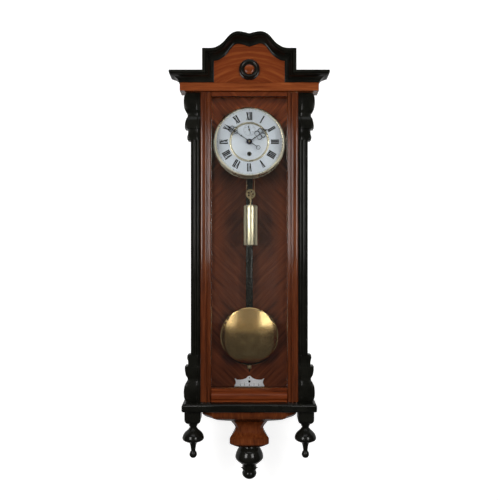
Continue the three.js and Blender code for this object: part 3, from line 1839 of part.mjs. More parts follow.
// The line comes down from the drum, turns under the pulley and rises to the post between the plates.
function addLine() {
  const drumLevel = dialHeight - winderDrop - pulleyHeight;
  const postLevel = dialHeight - linePostDown - linePostRadius - seatGap - pulleyHeight;
  const route = new LineRoute(drumLevel, postLevel);
  const stops = [0];
  for (let i = 0; i <= lineArcSteps; i++) {
    stops.push((drumLevel + (i / lineArcSteps) * route.arc) / route.whole);
  }
  stops.push(1);
  const rings = stops.map((share) => {
    const middle = route.getPoint(share);
    const turn = THREE.MathUtils.clamp((share * route.whole - drumLevel) / pulleyPitchRadius, 0, Math.PI);
    return lineSectionTurns.map((angle) => [
      middle.x - lineRadius * Math.cos(angle) * Math.cos(turn),
      middle.y + lineRadius * Math.sin(angle),
      middle.z - lineRadius * Math.cos(angle) * Math.sin(turn),
    ]);
  });
  const section = lineSectionTurns.map((angle) => [Math.cos(angle), Math.sin(angle)]);
  addPiece(root, "weight_line", loft(rings, section), gut, [pulleyPlace, -shellPlane, pulleyHeight]);
}

addCarcass();
addFrieze();
addCrest();
addPilastersAndBrackets();
addBase();
addWallPieces();
addDoor();
addMovementFrame();
addTrain();
addDrum();
addDial();
addHands();
addAnchor();
addPendulum();
addWeight();
addLine();

export default root;
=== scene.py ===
"""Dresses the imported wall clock: mouldings, turned work, dial, hands, finishes, studio and camera."""

from __future__ import annotations

import logging
import math
from collections.abc import Sequence
from dataclasses import dataclass
from enum import Enum

import bmesh
import bpy
from bpy.types import Curve, Material, Mesh, Node, NodeSocket, NodeTree, Object
from mathutils import Matrix, Vector

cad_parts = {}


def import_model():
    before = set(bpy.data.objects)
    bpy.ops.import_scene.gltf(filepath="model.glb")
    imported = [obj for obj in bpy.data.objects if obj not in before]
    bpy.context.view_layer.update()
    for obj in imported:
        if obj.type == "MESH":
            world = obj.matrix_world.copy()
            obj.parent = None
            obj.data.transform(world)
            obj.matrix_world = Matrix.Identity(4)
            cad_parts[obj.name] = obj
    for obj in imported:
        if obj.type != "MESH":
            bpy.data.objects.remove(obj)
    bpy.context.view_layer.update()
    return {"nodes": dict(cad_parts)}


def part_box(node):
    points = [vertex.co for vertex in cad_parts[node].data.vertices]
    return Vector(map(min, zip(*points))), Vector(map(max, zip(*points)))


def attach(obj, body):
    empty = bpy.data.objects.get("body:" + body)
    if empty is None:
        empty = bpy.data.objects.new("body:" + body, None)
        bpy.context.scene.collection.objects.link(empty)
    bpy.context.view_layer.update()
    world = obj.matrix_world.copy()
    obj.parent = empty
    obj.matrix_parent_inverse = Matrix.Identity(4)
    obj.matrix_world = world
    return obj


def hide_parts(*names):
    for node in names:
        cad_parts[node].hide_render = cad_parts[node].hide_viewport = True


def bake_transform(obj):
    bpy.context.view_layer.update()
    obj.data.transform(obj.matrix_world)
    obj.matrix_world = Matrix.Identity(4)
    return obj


MM = 0.001
FULL = math.tau
SIDES = (("left", -1), ("right", 1))
Point2 = tuple[float, float]
Point3 = tuple[float, float, float]
Colour = tuple[float, float, float]
Loops = Sequence[Sequence[Point2]]
log = logging.getLogger("clock")


class Axis(Enum):
    """The way that a turned piece's axis runs."""

    UP = "up"
    FRONT = "front"


class Figure(Enum):
    """How the veneer or the timber runs on a piece."""

    UPRIGHT = "upright"
    ACROSS = "across"
    CHEVRON = "chevron"
    ARCHED = "arched"


class Lay(Enum):
    """How the marks of polishing lie on metal."""

    TURNED_FRONT = "turned about an axis to the front"
    TURNED_UP = "turned about an upright axis"
    DRAWN = "drawn along its height"
    SATIN = "satin"


# Wiring of node trees


class Wiring:
    """Adds nodes to one tree and joins their sockets."""

    def __init__(self, tree: NodeTree) -> None:
        """Keeps the tree that the nodes go into."""
        self.tree = tree

    def feed(self, node: Node, inputs: dict) -> None:
        """Gives a node its inputs.

        Args:
            node: the node.
            inputs: values or sockets for its inputs, by name or by number.
        """
        for key, value in inputs.items():
            if isinstance(value, NodeSocket):
                self.tree.links.new(value, node.inputs[key])
            else:
                node.inputs[key].default_value = value

    def add(self, kind: str, inputs: dict | None = None, **settings: object) -> Node:
        """Adds a node.

        Args:
            kind: the node's Blender type.
            inputs: values or sockets for its inputs, by name or by number.
            settings: attributes of the node.

        Returns:
            The new node.
        """
        node = self.tree.nodes.new(kind)
        for name, value in settings.items():
            setattr(node, name, value)
        self.feed(node, inputs or {})
        return node

    def group(self, tree: NodeTree, inputs: dict) -> bpy.types.NodeOutputs:
        """Places a shared effect and returns its outputs."""
        return self.add("ShaderNodeGroup", inputs, node_tree=tree).outputs

    def math(self, operation: str, *terms: object, clamp: bool = False) -> NodeSocket:
        """Works out numbers with a Math node and returns its result."""
        inputs = dict(enumerate(terms))
        return self.add("ShaderNodeMath", inputs, operation=operation, use_clamp=clamp).outputs[0]

    def vector(self, operation: str, *terms: object) -> Node:
        """Works out vectors with a Vector Math node and returns the node."""
        return self.add("ShaderNodeVectorMath", dict(enumerate(terms)), operation=operation)

    def stretch(self, vector: object, scale: Point3) -> NodeSocket:
        """Scales a vector along its three ways and returns it."""
        return self.vector("MULTIPLY", vector, scale).outputs[0]

    def join(self, *ways: object) -> NodeSocket:
        """Makes a vector of up to three numbers and returns it."""
        return self.add("ShaderNodeCombineXYZ", dict(enumerate(ways))).outputs[0]

    def split(self, vector: object) -> bpy.types.NodeOutputs:
        """Returns the three numbers of a vector."""
        return self.add("ShaderNodeSeparateXYZ", {0: vector}).outputs

    def blend(self, share: object, first: object, second: object) -> NodeSocket:
        """Mixes two colours.

        Args:
            share: how much there is of the second one.
            first: three numbers or a socket.
            second: the same.

        Returns:
            The colour.
        """
        first, second = ((*colour, 1) if isinstance(colour, tuple) else colour for colour in (first, second))
        inputs = {0: share, 6: first, 7: second}
        return self.add("ShaderNodeMix", inputs, data_type="RGBA", clamp_factor=True).outputs[2]

    def noise(self, vector: object, scale: float, detail: float = 3.0, rough: float = 0.5) -> NodeSocket:
        """Adds a noise of that scale and returns its value."""
        inputs = {"Vector": vector, "Scale": scale, "Detail": detail, "Roughness": rough}
        return self.add("ShaderNodeTexNoise", inputs).outputs[0]

    def span(
        self, value: object, low: float, high: float, start: float = 0.0, end: float = 1.0
    ) -> NodeSocket:
        """Maps a value from one span to another with soft ends and returns it."""
        inputs = {0: value, 1: low, 2: high, 3: start, 4: end}
        return self.add("ShaderNodeMapRange", inputs, interpolation_type="SMOOTHSTEP").outputs[0]


def new_tree(
    kind: str, name: str, given: dict[str, str], made: dict[str, str]
) -> tuple[Wiring, bpy.types.NodeOutputs]:
    """Starts a node group.

    Args:
        kind: the tree's Blender type.
        name: the group's name.
        given: kinds of the inputs, by name.
        made: kinds of the outputs, by name.

    Returns:
        The group's wiring and the values that are given to it.
    """
    tree = bpy.data.node_groups.new(name, kind)
    for way, sockets in (("INPUT", given), ("OUTPUT", made)):
        for title, socket in sockets.items():
            tree.interface.new_socket(name=title, in_out=way, socket_type="NodeSocket" + socket)
    wires = Wiring(tree)
    return wires, wires.add("NodeGroupInput").outputs


class SharedEffects:
    """The node groups that more than one finish uses."""

    def __init__(self) -> None:
        """Builds each group once."""
        self.grain = self._grain()
        self.wear = self._wear()
        self.handling = self._handling()

    @staticmethod
    def _grain() -> NodeTree:
        """Figures timber whose fibres run along the third way of its vector.

        Returns:
            The group.
        """
        wanted = {"Vector": "Vector", "Dark": "Color", "Middle": "Color", "Light": "Color", "Figure": "Float"}
        made = {"Color": "Color", "Height": "Float", "Gloss": "Float"}
        wires, given = new_tree("ShaderNodeTree", "Timber grain", wanted, made)
        place = given["Vector"]
        drift = wires.noise(wires.stretch(place, (1, 1, 0.3)), 11, 2)
        shift = wires.join(wires.math("MULTIPLY", drift, 0.028))
        warped = wires.vector("ADD", wires.stretch(place, (1, 1, 0.07)), shift).outputs[0]
        streaks = wires.noise(warped, 120, 9, 0.68)
        wave = {"Vector": warped, "Scale": 26, "Distortion": 9, "Detail": 4, "Detail Scale": 2.2}
        bands = wires.add("ShaderNodeTexWave", wave, wave_profile="SIN").outputs[1]
        rings = wires.math("MULTIPLY", wires.math("SUBTRACT", bands, 0.5), given["Figure"])
        tone = wires.math("ADD", wires.span(streaks, 0.22, 0.78), rings, clamp=True)
        clouds = wires.span(wires.noise(wires.stretch(place, (1, 1, 0.4)), 14, 3), 0.3, 0.7, -0.14, 0.14)
        tone = wires.math("ADD", tone, clouds, clamp=True)
        low = wires.blend(wires.span(tone, 0.0, 0.55), given["Dark"], given["Middle"])
        body = wires.blend(wires.span(tone, 0.5, 1.0), low, given["Light"])
        pores = wires.noise(wires.stretch(place, (1, 1, 0.035)), 2100, 2, 0.4)
        pits = wires.span(pores, 0.62, 0.74, 0.0, 0.3)
        results = {
            "Color": wires.blend(pits, body, given["Dark"]),
            "Height": wires.math("SUBTRACT", streaks, pits),
            "Gloss": wires.math("ADD", wires.math("MULTIPLY", tone, 0.5), pits, clamp=True),
        }
        wires.add("NodeGroupOutput", results)
        return wires.tree

    @staticmethod
    def _wear() -> NodeTree:
        """Rubs corners: makes a mask that is one on edges, broken up by noise.

        Returns:
            The group.
        """
        wanted = {"Vector": "Vector", "Width": "Float", "Amount": "Float"}
        wires, given = new_tree("ShaderNodeTree", "Rubbed edges", wanted, {"Mask": "Float"})
        rounded = wires.add("ShaderNodeBevel", {"Radius": given["Width"]}, samples=4).outputs[0]
        plain = wires.add("ShaderNodeNewGeometry").outputs["Normal"]
        likeness = wires.vector("DOT_PRODUCT", rounded, plain).outputs[1]
        edge = wires.span(likeness, 0.985, 0.9)
        broken = wires.span(wires.noise(given["Vector"], 70, 5, 0.7), 0.42, 0.62)
        mask = wires.math("MULTIPLY", wires.math("MULTIPLY", edge, broken), given["Amount"], clamp=True)
        wires.add("NodeGroupOutput", {"Mask": mask})
        return wires.tree

    @staticmethod
    def _handling() -> NodeTree:
        """Makes haze and fine scratches, as dusting and handling leave them.

        Returns:
            The group.
        """
        wanted = {"Vector": "Vector", "Low": "Float", "High": "Float"}
        made = {"Gloss": "Float", "Height": "Float"}
        wires, given = new_tree("ShaderNodeTree", "Handling marks", wanted, made)
        haze = wires.span(wires.noise(given["Vector"], 17, 4, 0.6), 0.32, 0.7)
        thin = wires.noise(wires.stretch(given["Vector"], (1, 1, 0.12)), 900, 2)
        scratches = wires.span(thin, 0.6, 0.8, 0.0, 0.35)
        share = wires.math("ADD", haze, scratches, clamp=True)
        gloss = wires.add("ShaderNodeMapRange", {0: share, 3: given["Low"], 4: given["High"]}).outputs[0]
        wires.add("NodeGroupOutput", {"Gloss": gloss, "Height": scratches})
        return wires.tree


# Finishes


class Surface(Wiring):
    """The wiring of a new material with a Principled shader and its Object coordinates."""

    def __init__(self, name: str) -> None:
        """Starts the material.

        Args:
            name: its name.
        """
        self.material = bpy.data.materials.new(name)
        self.material.use_nodes = True
        super().__init__(self.material.node_tree)
        self.shader = self.tree.nodes["Principled BSDF"]
        self.place = self.add("ShaderNodeTexCoord").outputs["Object"]

    def show(self, shading: Node) -> Material:
        """Shows another node's shading instead of the plain shader's and returns the material."""
        self.feed(self.tree.nodes["Material Output"], {"Surface": shading.outputs[0]})
        return self.material

    def finish(self, inputs: dict, height: object, depth: float, strength: float) -> Material:
        """Feeds the shader and raises a bump on the surface.

        Args:
            inputs: values or sockets for the shader, by name.
            height: the bump's height, from none to one.
            depth: the depth in metres that a height of one stands for.
            strength: the bump's strength.

        Returns:
            The material.
        """
        bump = self.add("ShaderNodeBump", {"Height": height, "Distance": depth, "Strength": strength})
        self.feed(self.shader, {**inputs, "Normal": bump.outputs["Normal"]})
        return self.material


@dataclass(frozen=True)
class Tones:
    """The colours of a timber's fibres."""

    dark: Colour
    middle: Colour
    light: Colour


@dataclass(frozen=True)
class Timber:
    """Varnished walnut.

    The chevron figure turns at turning_heights, the arched one runs round arch_height, and between a pair of
    heights the veneer gets painted light: its colour is scaled up, by as much as a given factor above them.
    """

    name: str
    tones: Tones
    figure: Figure = Figure.UPRIGHT
    banding: float = 0.35
    gloss: Point2 = (0.18, 0.30)
    varnish: float = 0.15
    worn: float = 0.2
    rubbed_width: float = 0.0012
    # Heights and factor of the painted light; the default heights lie above the clock, so most timbers get
    # none.
    paler_span: Point2 = (2.0, 3.0)
    paler_by: float = 5.2
    turning_heights: Point2 = (0.034, 0.300)
    arch_height: float = 0.36

    def build(self, effects: SharedEffects) -> Material:
        """Builds the material.

        Args:
            effects: the shared node groups.

        Returns:
            The material.
        """
        wires = Surface(self.name)
        place = wires.place
        dark, middle, light = ((*tone, 1) for tone in (self.tones.dark, self.tones.middle, self.tones.light))
        fibres = {"Vector": self._along_grain(wires, place), "Dark": dark, "Middle": middle, "Light": light}
        grain = wires.group(effects.grain, {**fibres, "Figure": self.banding})
        edges = {"Vector": place, "Width": self.rubbed_width, "Amount": self.worn}
        paler = tuple(min(1.0, channel * 1.5 + 0.03) for channel in self.tones.light)
        colour = wires.blend(wires.group(effects.wear, edges)["Mask"], grain["Color"], paler)
        # Painted light: above two heights the colour is scaled up, so that the upper back looks lit where it
        # lies in shade.
        painted_lit = wires.vector("SCALE", colour)
        height = wires.split(place)[2]
        wires.feed(painted_lit, {"Scale": wires.span(height, *self.paler_span, 1.0, self.paler_by)})
        inputs = {
            "Base Color": painted_lit.outputs[0],
            "Roughness": wires.span(grain["Gloss"], 0.0, 1.0, *self.gloss),
            "Specular IOR Level": 0.28,
            "Coat Weight": self.varnish,
            "Coat Roughness": 0.12,
        }
        return wires.finish(inputs, grain["Height"], 0.00008, 0.25)

    def _along_grain(self, wires: Wiring, place: NodeSocket) -> NodeSocket:
        """Turns coordinates so that their third way is the way of the fibres.

        Args:
            wires: the material's wiring.
            place: the object's coordinates.

        Returns:
            The turned coordinates.
        """
        if self.figure is Figure.UPRIGHT:
            return place
        x, y, z = wires.split(place)
        if self.figure is Figure.ACROSS:
            return wires.join(z, y, x)
        if self.figure is Figure.ARCHED:
            low = wires.math("SUBTRACT", z, self.arch_height)
            spread = wires.math("MULTIPLY", wires.math("ABSOLUTE", x), 0.75)
            squares = [wires.math("MULTIPLY", side, side) for side in (low, spread)]
            across = wires.math("SQRT", wires.math("ADD", *squares))
            along = wires.math("MULTIPLY", wires.math("ARCTAN2", spread, low), 0.12)
            return wires.join(across, y, along)
        first, second = self.turning_heights
        above = wires.math("ABSOLUTE", wires.math("SUBTRACT", z, first))
        below = wires.math("SUBTRACT", second * 2 - first, z)
        folded = wires.math("MINIMUM", above, below)
        side = wires.math("ABSOLUTE", x)
        lean = math.sqrt(0.5)
        across = wires.math("MULTIPLY", wires.math("ADD", folded, side), lean)
        along = wires.math("MULTIPLY", wires.math("SUBTRACT", side, folded), lean)
        return wires.join(across, y, along)


@dataclass(frozen=True)
class Ebonised:
    """Black polished pearwood, rubbed brown on its corners."""

    name: str = "Ebonised wood"
    colour: Colour = (0.0055, 0.0055, 0.0042)
    rubbed: Colour = (0.045, 0.036, 0.026)
    worn: float = 0.3
    shine: float = 0.25
    rubbed_width: float = 0.0010

    def build(self, effects: SharedEffects) -> Material:
        """Builds the material.

        Args:
            effects: the shared node groups.

        Returns:
            The material.
        """
        wires = Surface(self.name)
        place = wires.place
        fibres = wires.noise(wires.stretch(place, (1, 1, 0.05)), 800, 4, 0.6)
        depth = wires.span(wires.noise(place, 24, 3), 0.3, 0.7)
        body = wires.blend(depth, self.colour, tuple(channel * 1.9 for channel in self.colour))
        edges = {"Vector": place, "Width": self.rubbed_width, "Amount": self.worn}
        inputs = {
            "Base Color": wires.blend(wires.group(effects.wear, edges)["Mask"], body, self.rubbed),
            "Roughness": wires.group(effects.handling, {"Vector": place, "Low": 0.13, "High": 0.24})["Gloss"],
            "Specular IOR Level": self.shine,
            "Coat Weight": self.shine * 0.2,
            "Coat Roughness": 0.08,
        }
        return wires.finish(inputs, fibres, 0.00005, 0.2)


@dataclass(frozen=True)
class Metal:
    """Brass, steel, iron or lead with its polish marks and tarnish."""

    name: str
    colour: Colour
    tarnish: Colour
    lay: Lay = Lay.SATIN
    gloss: Point2 = (0.14, 0.3)
    tarnished: float = 0.5
    scratch_depth: float = 0.00002
    centre: Point3 = (0.0, 0.0, 0.0)

    def build(self, effects: SharedEffects) -> Material:
        """Builds the material.

        Args:
            effects: the shared node groups.

        Returns:
            The material.
        """
        wires = Surface(self.name)
        place = wires.place
        lines = self._lines(wires, wires.vector("SUBTRACT", place, self.centre).outputs[0])
        spots = wires.span(wires.noise(place, 34, 6, 0.62), 0.46, 0.72)
        specks = wires.span(wires.noise(place, 420, 2, 0.5), 0.66, 0.78)
        stain = wires.math("MULTIPLY", wires.math("MAXIMUM", spots, specks), self.tarnished, clamp=True)
        low, high = self.gloss
        marks = wires.group(effects.handling, {"Vector": place, "Low": low, "High": high})
        inputs = {
            "Base Color": wires.blend(stain, self.colour, self.tarnish),
            "Metallic": 1.0,
            "Roughness": wires.math("ADD", marks["Gloss"], wires.math("MULTIPLY", stain, 0.18), clamp=True),
        }
        return wires.finish(inputs, lines, self.scratch_depth, 0.6)

    def _lines(self, wires: Wiring, place: NodeSocket) -> NodeSocket:
        """Draws the marks that the tool left.

        Args:
            wires: the material's wiring.
            place: coordinates from the piece's centre.

        Returns:
            The height of the marks.
        """
        if self.lay is Lay.SATIN:
            return wires.noise(place, 1500, 3, 0.6)
        if self.lay is Lay.DRAWN:
            return wires.noise(wires.stretch(place, (1, 1, 0.02)), 1800, 3, 0.6)
        flat, rise = ((1, 0, 1), (0, 1, 0)) if self.lay is Lay.TURNED_FRONT else ((1, 1, 0), (0, 0, 1))
        radius = wires.vector("LENGTH", wires.stretch(place, flat)).outputs[1]
        height = wires.vector("DOT_PRODUCT", wires.stretch(place, rise), (1, 1, 1)).outputs[1]
        return wires.noise(wires.join(radius, height), 2600, 3, 0.7)


@dataclass(frozen=True)
class Enamel:
    """White vitreous enamel with a faint ripple and age specks."""

    name: str = "White enamel"
    colour: Colour = (0.58, 0.62, 0.70)
    aged: Colour = (0.48, 0.50, 0.54)

    def build(self, effects: SharedEffects) -> Material:
        """Builds the material.

        Args:
            effects: the shared node groups.

        Returns:
            The material.
        """
        wires = Surface(self.name)
        place = wires.place
        clouds = wires.span(wires.noise(place, 38, 4, 0.55), 0.4, 0.75, 0.0, 0.14)
        specks = wires.span(wires.noise(place, 900, 2, 0.4), 0.74, 0.8, 0.0, 0.3)
        inputs = {
            "Base Color": wires.blend(wires.math("MAXIMUM", clouds, specks), self.colour, self.aged),
            "Roughness": wires.group(effects.handling, {"Vector": place, "Low": 0.3, "High": 0.45})["Gloss"],
            "Coat Weight": 0.1,
            "Coat Roughness": 0.05,
        }
        return wires.finish(inputs, wires.noise(place, 60, 2), 0.0002, 0.25)


@dataclass(frozen=True)
class Glass:
    """Old window glass, faintly green and a little wavy."""

    name: str = "Old glass"
    colour: Colour = (0.97, 0.985, 0.975)

    def build(self) -> Material:
        """Builds the material, which lets the lamps' light through.

        Returns:
            The material.
        """
        wires = Surface(self.name)
        place = wires.place
        tint = wires.span(wires.noise(place, 6, 2), 0.3, 0.7)
        inputs = {
            "Base Color": wires.blend(tint, self.colour, tuple(channel * 0.99 for channel in self.colour)),
            "Transmission Weight": 1.0,
            "IOR": 1.45,
            "Roughness": 0.0,
        }
        wires.finish(inputs, wires.noise(place, 9, 2), 0.0008, 0.04)
        clear = wires.add("ShaderNodeBsdfTransparent", {"Color": (0.95, 0.965, 0.955, 1)}).outputs[0]
        ray = wires.add("ShaderNodeLightPath").outputs
        passing = wires.math("MAXIMUM", ray["Is Shadow Ray"], ray["Is Diffuse Ray"])
        mix = {0: passing, 1: wires.shader.outputs[0], 2: clear}
        return wires.show(wires.add("ShaderNodeMixShader", mix))


@dataclass(frozen=True)
class Ink:
    """Fired black paint on enamel, and the same in grey for fine marks."""

    name: str = "Dial black"
    colour: Colour = (0.006, 0.006, 0.009)

    def build(self) -> Material:
        """Builds the material.

        Returns:
            The material.
        """
        wires = Surface(self.name)
        thin = wires.span(wires.noise(wires.place, 500, 4, 0.6), 0.55, 0.8, 0.0, 0.12)
        inputs = {
            "Base Color": wires.blend(thin, self.colour, tuple(channel + 0.03 for channel in self.colour)),
            "Roughness": wires.span(thin, 0.0, 0.35, 0.22, 0.4),
        }
        return wires.finish(inputs, thin, 0.00004, 0.4)


@dataclass(frozen=True)
class Gut:
    """Twisted gut line."""

    name: str = "Gut"
    colour: Colour = (0.30, 0.17, 0.075)
    shade: Colour = (0.12, 0.06, 0.025)

    def build(self) -> Material:
        """Builds the material.

        Returns:
            The material.
        """
        wires = Surface(self.name)
        x, _, z = wires.split(wires.place)
        slope = wires.math("ADD", z, wires.math("MULTIPLY", x, 1.6))
        lay = wires.math("SINE", wires.math("MULTIPLY", slope, 3200.0))
        share = wires.span(wires.math("ADD", lay, wires.noise(wires.place, 300)), -0.4, 1.2)
        inputs = {
            "Base Color": wires.blend(share, self.shade, self.colour),
            "Roughness": wires.span(share, 0.0, 1.0, 0.55, 0.35),
        }
        return wires.finish(inputs, share, 0.0002, 0.5)


class Finishes:
    """Every finish of the clock, built once."""

    def __init__(self) -> None:
        """Builds the shared effects and the materials."""
        effects = SharedEffects()
        self._timbers(effects)
        self._metals(effects)
        self.enamel = Enamel().build(effects)
        # Painted light: the beat plaque's enamel is much whiter than the dial's, standing in for the light
        # that the case keeps from it.
        self.plaque = Enamel("Plaque enamel", (0.95, 0.93, 0.99), (0.90, 0.88, 0.94)).build(effects)
        self.ink = Ink().build()
        self.faint_ink = Ink("Fine dial marks", (0.06, 0.06, 0.08)).build()
        self.glass = Glass().build()
        self.gut = Gut().build()

    def _timbers(self, effects: SharedEffects) -> None:
        """Builds the walnuts and the ebonised woods.

        Args:
            effects: the shared node groups.
        """
        red = Tones((0.088, 0.017, 0.004), (0.160, 0.032, 0.007), (0.245, 0.058, 0.013))
        # These tones are a lighter copy of the crest's walnut: painted light for the frieze, which the crown
        # above it shades.
        bright = Tones((0.120, 0.026, 0.006), (0.215, 0.050, 0.012), (0.310, 0.082, 0.020))
        door = Tones((0.060, 0.013, 0.003), (0.105, 0.023, 0.005), (0.165, 0.042, 0.010))
        deep = Tones((0.072, 0.016, 0.005), (0.128, 0.029, 0.009), (0.190, 0.046, 0.015))
        below = Tones((0.078, 0.018, 0.005), (0.136, 0.032, 0.008), (0.215, 0.058, 0.016))
        across, chevron = Figure.ACROSS, Figure.CHEVRON
        self.crest = Timber("Walnut veneer of the crest", red, Figure.ARCHED, banding=0.08).build(effects)
        self.frieze = Timber("Walnut of the frieze", bright, across, banding=0.06).build(effects)
        stile = Timber("Walnut of the door", door, banding=0.06, gloss=(0.16, 0.26), varnish=0.75)
        self.stile = stile.build(effects)
        self.rail = Timber("Walnut of the rails", red, across, banding=0.06, varnish=0.3).build(effects)
        # Painted shade: the door's top rail takes the back's darker veneer and chevron figure, so that it
        # reads as the shaded back behind it.
        self.shaded = Timber("Walnut of the top rail", deep, chevron, banding=0.08, varnish=0.1).build(effects)
        self.side = Timber("Walnut of the sides", deep, banding=0.12).build(effects)
        # Painted light: the back's veneer is painted brighter above the dial, from 0.29 to 0.36 m up.
        back = Timber(
            "Matched veneer of the back", deep, chevron, banding=0.1, varnish=0.1, worn=0.1,
            paler_span=(0.29, 0.36),
        )
        self.back = back.build(effects)
        self.drop = Timber("Walnut of the drop", below, banding=0.08, varnish=0.0).build(effects)
        self.black = Ebonised().build(effects)
        self.satin = Ebonised("Satin ebonised wood", worn=0.2, shine=0.12).build(effects)

    def _metals(self, effects: SharedEffects) -> None:
        """Builds the brasses, the steels, the iron and the lead.

        Args:
            effects: the shared node groups.
        """
        old, dark, facing = (0.38, 0.29, 0.14), (0.11, 0.075, 0.045), Lay.TURNED_FRONT
        self.bob = Metal(
            "Lacquered bob brass", (0.74, 0.51, 0.23), (0.50, 0.29, 0.11), facing, gloss=(0.1, 0.15),
            tarnished=0.35, scratch_depth=2e-6, centre=(0.0, 0.0, -0.239),
        ).build(effects)
        self.bright = Metal(
            "Polished brass", (0.47, 0.42, 0.29), old, Lay.TURNED_UP, gloss=(0.31, 0.34),
            tarnished=0.04, scratch_depth=1e-6, centre=(0.0035, -0.09, 0.0),
        ).build(effects)
        self.bezel = Metal(
            "Spun bezel brass", (0.68, 0.62, 0.47), (0.42, 0.36, 0.24), facing, gloss=(0.22, 0.34),
            tarnished=0.3, scratch_depth=6e-6, centre=(0.0, 0.0, 0.285),
        ).build(effects)
        self.brass = Metal(
            "Grained brass", (0.58, 0.45, 0.23), old, Lay.DRAWN, gloss=(0.24, 0.4), tarnished=0.3,
            scratch_depth=1e-5,
        ).build(effects)
        self.dull = Metal(
            "Dull brass", (0.22, 0.165, 0.09), dark, gloss=(0.3, 0.45), scratch_depth=1e-5
        ).build(effects)
        steel = Metal(
            "Bright steel", (0.42, 0.42, 0.41), (0.16, 0.13, 0.10), gloss=(0.22, 0.42), tarnished=0.35
        )
        blued = Metal("Blued steel", (0.012, 0.014, 0.030), (0.02, 0.016, 0.012), gloss=(0.2, 0.36))
        iron = Metal(
            "Japanned iron", (0.035, 0.033, 0.03), (0.06, 0.035, 0.02), gloss=(0.45, 0.65),
            scratch_depth=1e-4,
        )
        lead = Metal("Lead", (0.14, 0.14, 0.15), (0.25, 0.25, 0.25), gloss=(0.5, 0.7), scratch_depth=1e-4)
        self.steel, self.blued = steel.build(effects), blued.build(effects)
        self.iron, self.lead = iron.build(effects), lead.build(effects)


# Making of meshes


def put(name: str, data: bpy.types.ID) -> Object:
    """Puts a mesh, a curve, a lamp or a camera in the scene.

    Args:
        name: the object's name.
        data: what it shows.

    Returns:
        The object.
    """
    thing = bpy.data.objects.new(name, data)
    bpy.context.scene.collection.objects.link(thing)
    return thing


def drop_shape(shape: Object) -> None:
    """Takes a pattern shape out of the scene.

    Args:
        shape: the shape, whose mesh goes too.
    """
    data = shape.data
    bpy.data.objects.remove(shape)
    bpy.data.meshes.remove(data)


def as_made(thing: Object) -> Mesh:
    """Returns what an object's curve or modifiers make, as a plain mesh."""
    seen = bpy.context.evaluated_depsgraph_get()
    return bpy.data.meshes.new_from_object(thing.evaluated_get(seen))


def settle(name: str, mesh: Mesh, finish: Material, sharp: float = 35.0) -> Object:
    """Cleans a mesh and puts it in the scene.

    Args:
        name: the piece's name.
        mesh: its mesh, in metres, in place.
        finish: its material.
        sharp: the angle past which an edge stays sharp.

    Returns:
        The piece.
    """
    work = bmesh.new()
    work.from_mesh(mesh)
    bmesh.ops.remove_doubles(work, verts=work.verts, dist=1e-6)
    bmesh.ops.recalc_face_normals(work, faces=work.faces)
    work.to_mesh(mesh)
    work.free()
    mesh.polygons.foreach_set("use_smooth", [True] * len(mesh.polygons))
    mesh.set_sharp_from_angle(angle=math.radians(sharp))
    mesh.materials.clear()
    mesh.materials.append(finish)
    mesh.polygons.foreach_set("material_index", [0] * len(mesh.polygons))
    return put(name, mesh)


def from_points(
    name: str, points: Sequence[Point3], faces: Sequence[Sequence[int]], finish: Material, sharp: float = 35.0
) -> Object:
    """Makes a piece of faces between points.

    Args:
        name: the piece's name.
        points: the points, in millimetres.
        faces: the numbers of each face's points.
        finish: its material.
        sharp: the angle past which an edge stays sharp.

    Returns:
        The piece.
    """
    mesh = bpy.data.meshes.new(name)
    mesh.from_pydata([(x * MM, y * MM, z * MM) for x, y, z in points], [], faces)
    return settle(name, mesh, finish, sharp)


def loft(name: str, rings: Sequence[Sequence[Point3]], finish: Material, sharp: float = 35.0) -> Object:
    """Joins rings of equal length into a closed body with flat ends.

    Args:
        name: the piece's name.
        rings: the rings, in millimetres.
        finish: its material.
        sharp: the angle past which an edge stays sharp.

    Returns:
        The piece.
    """
    count = len(rings[0])
    points = [point for ring in rings for point in ring]
    faces: list[tuple[int, ...]] = [tuple(range(count)), tuple(range(len(points) - count, len(points)))]
    for row in range(len(rings) - 1):
        for place in range(count):
            here, following = row * count + place, row * count + (place + 1) % count
            faces.append((here, following, following + count, here + count))
    return from_points(name, points, faces, finish, sharp)


def turned(
    name: str,
    profile: Sequence[Point2],
    centre: Point3,
    axis: Axis,
    finish: Material,
    sides: int = 128,
    sharp: float = 35.0,
) -> Object:
    """Turns a profile about an axis.

    Args:
        name: the piece's name.
        profile: pairs of radius and way along the axis, which start and end on the axis or go round a bore.
        centre: the point on the axis from which the profile is measured.
        axis: up, or out to the front.
        finish: its material.
        sides: the number of sides.
        sharp: the angle past which an edge stays sharp.

    Returns:
        The piece.
    """
    bored = profile[0][0] > 1e-6 and profile[-1][0] > 1e-6
    rows: list[list[int]] = []
    points: list[Point3] = []
    for radius, along in profile:
        steps = 1 if radius < 1e-6 else sides
        row = []
        for step in range(steps):
            angle = FULL * step / sides
            across, other = radius * math.cos(angle), radius * math.sin(angle)
            spot = (across, other, along) if axis is Axis.UP else (across, -along, other)
            row.append(len(points))
            points.append((centre[0] + spot[0], centre[1] + spot[1], centre[2] + spot[2]))
        rows.append(row * sides if steps == 1 else row)
    faces = []
    pairs = list(zip(rows, rows[1:]))
    if bored and profile[0] != profile[-1]:
        pairs.append((rows[-1], rows[0]))
    for low, high in pairs:
        for place in range(sides):
            following = (place + 1) % sides
            corners = [low[place], low[following], high[following], high[place]]
            face = list(dict.fromkeys(corners))
            if len(face) > 2:
                faces.append(face)
    return from_points(name, points, faces, finish, sharp)


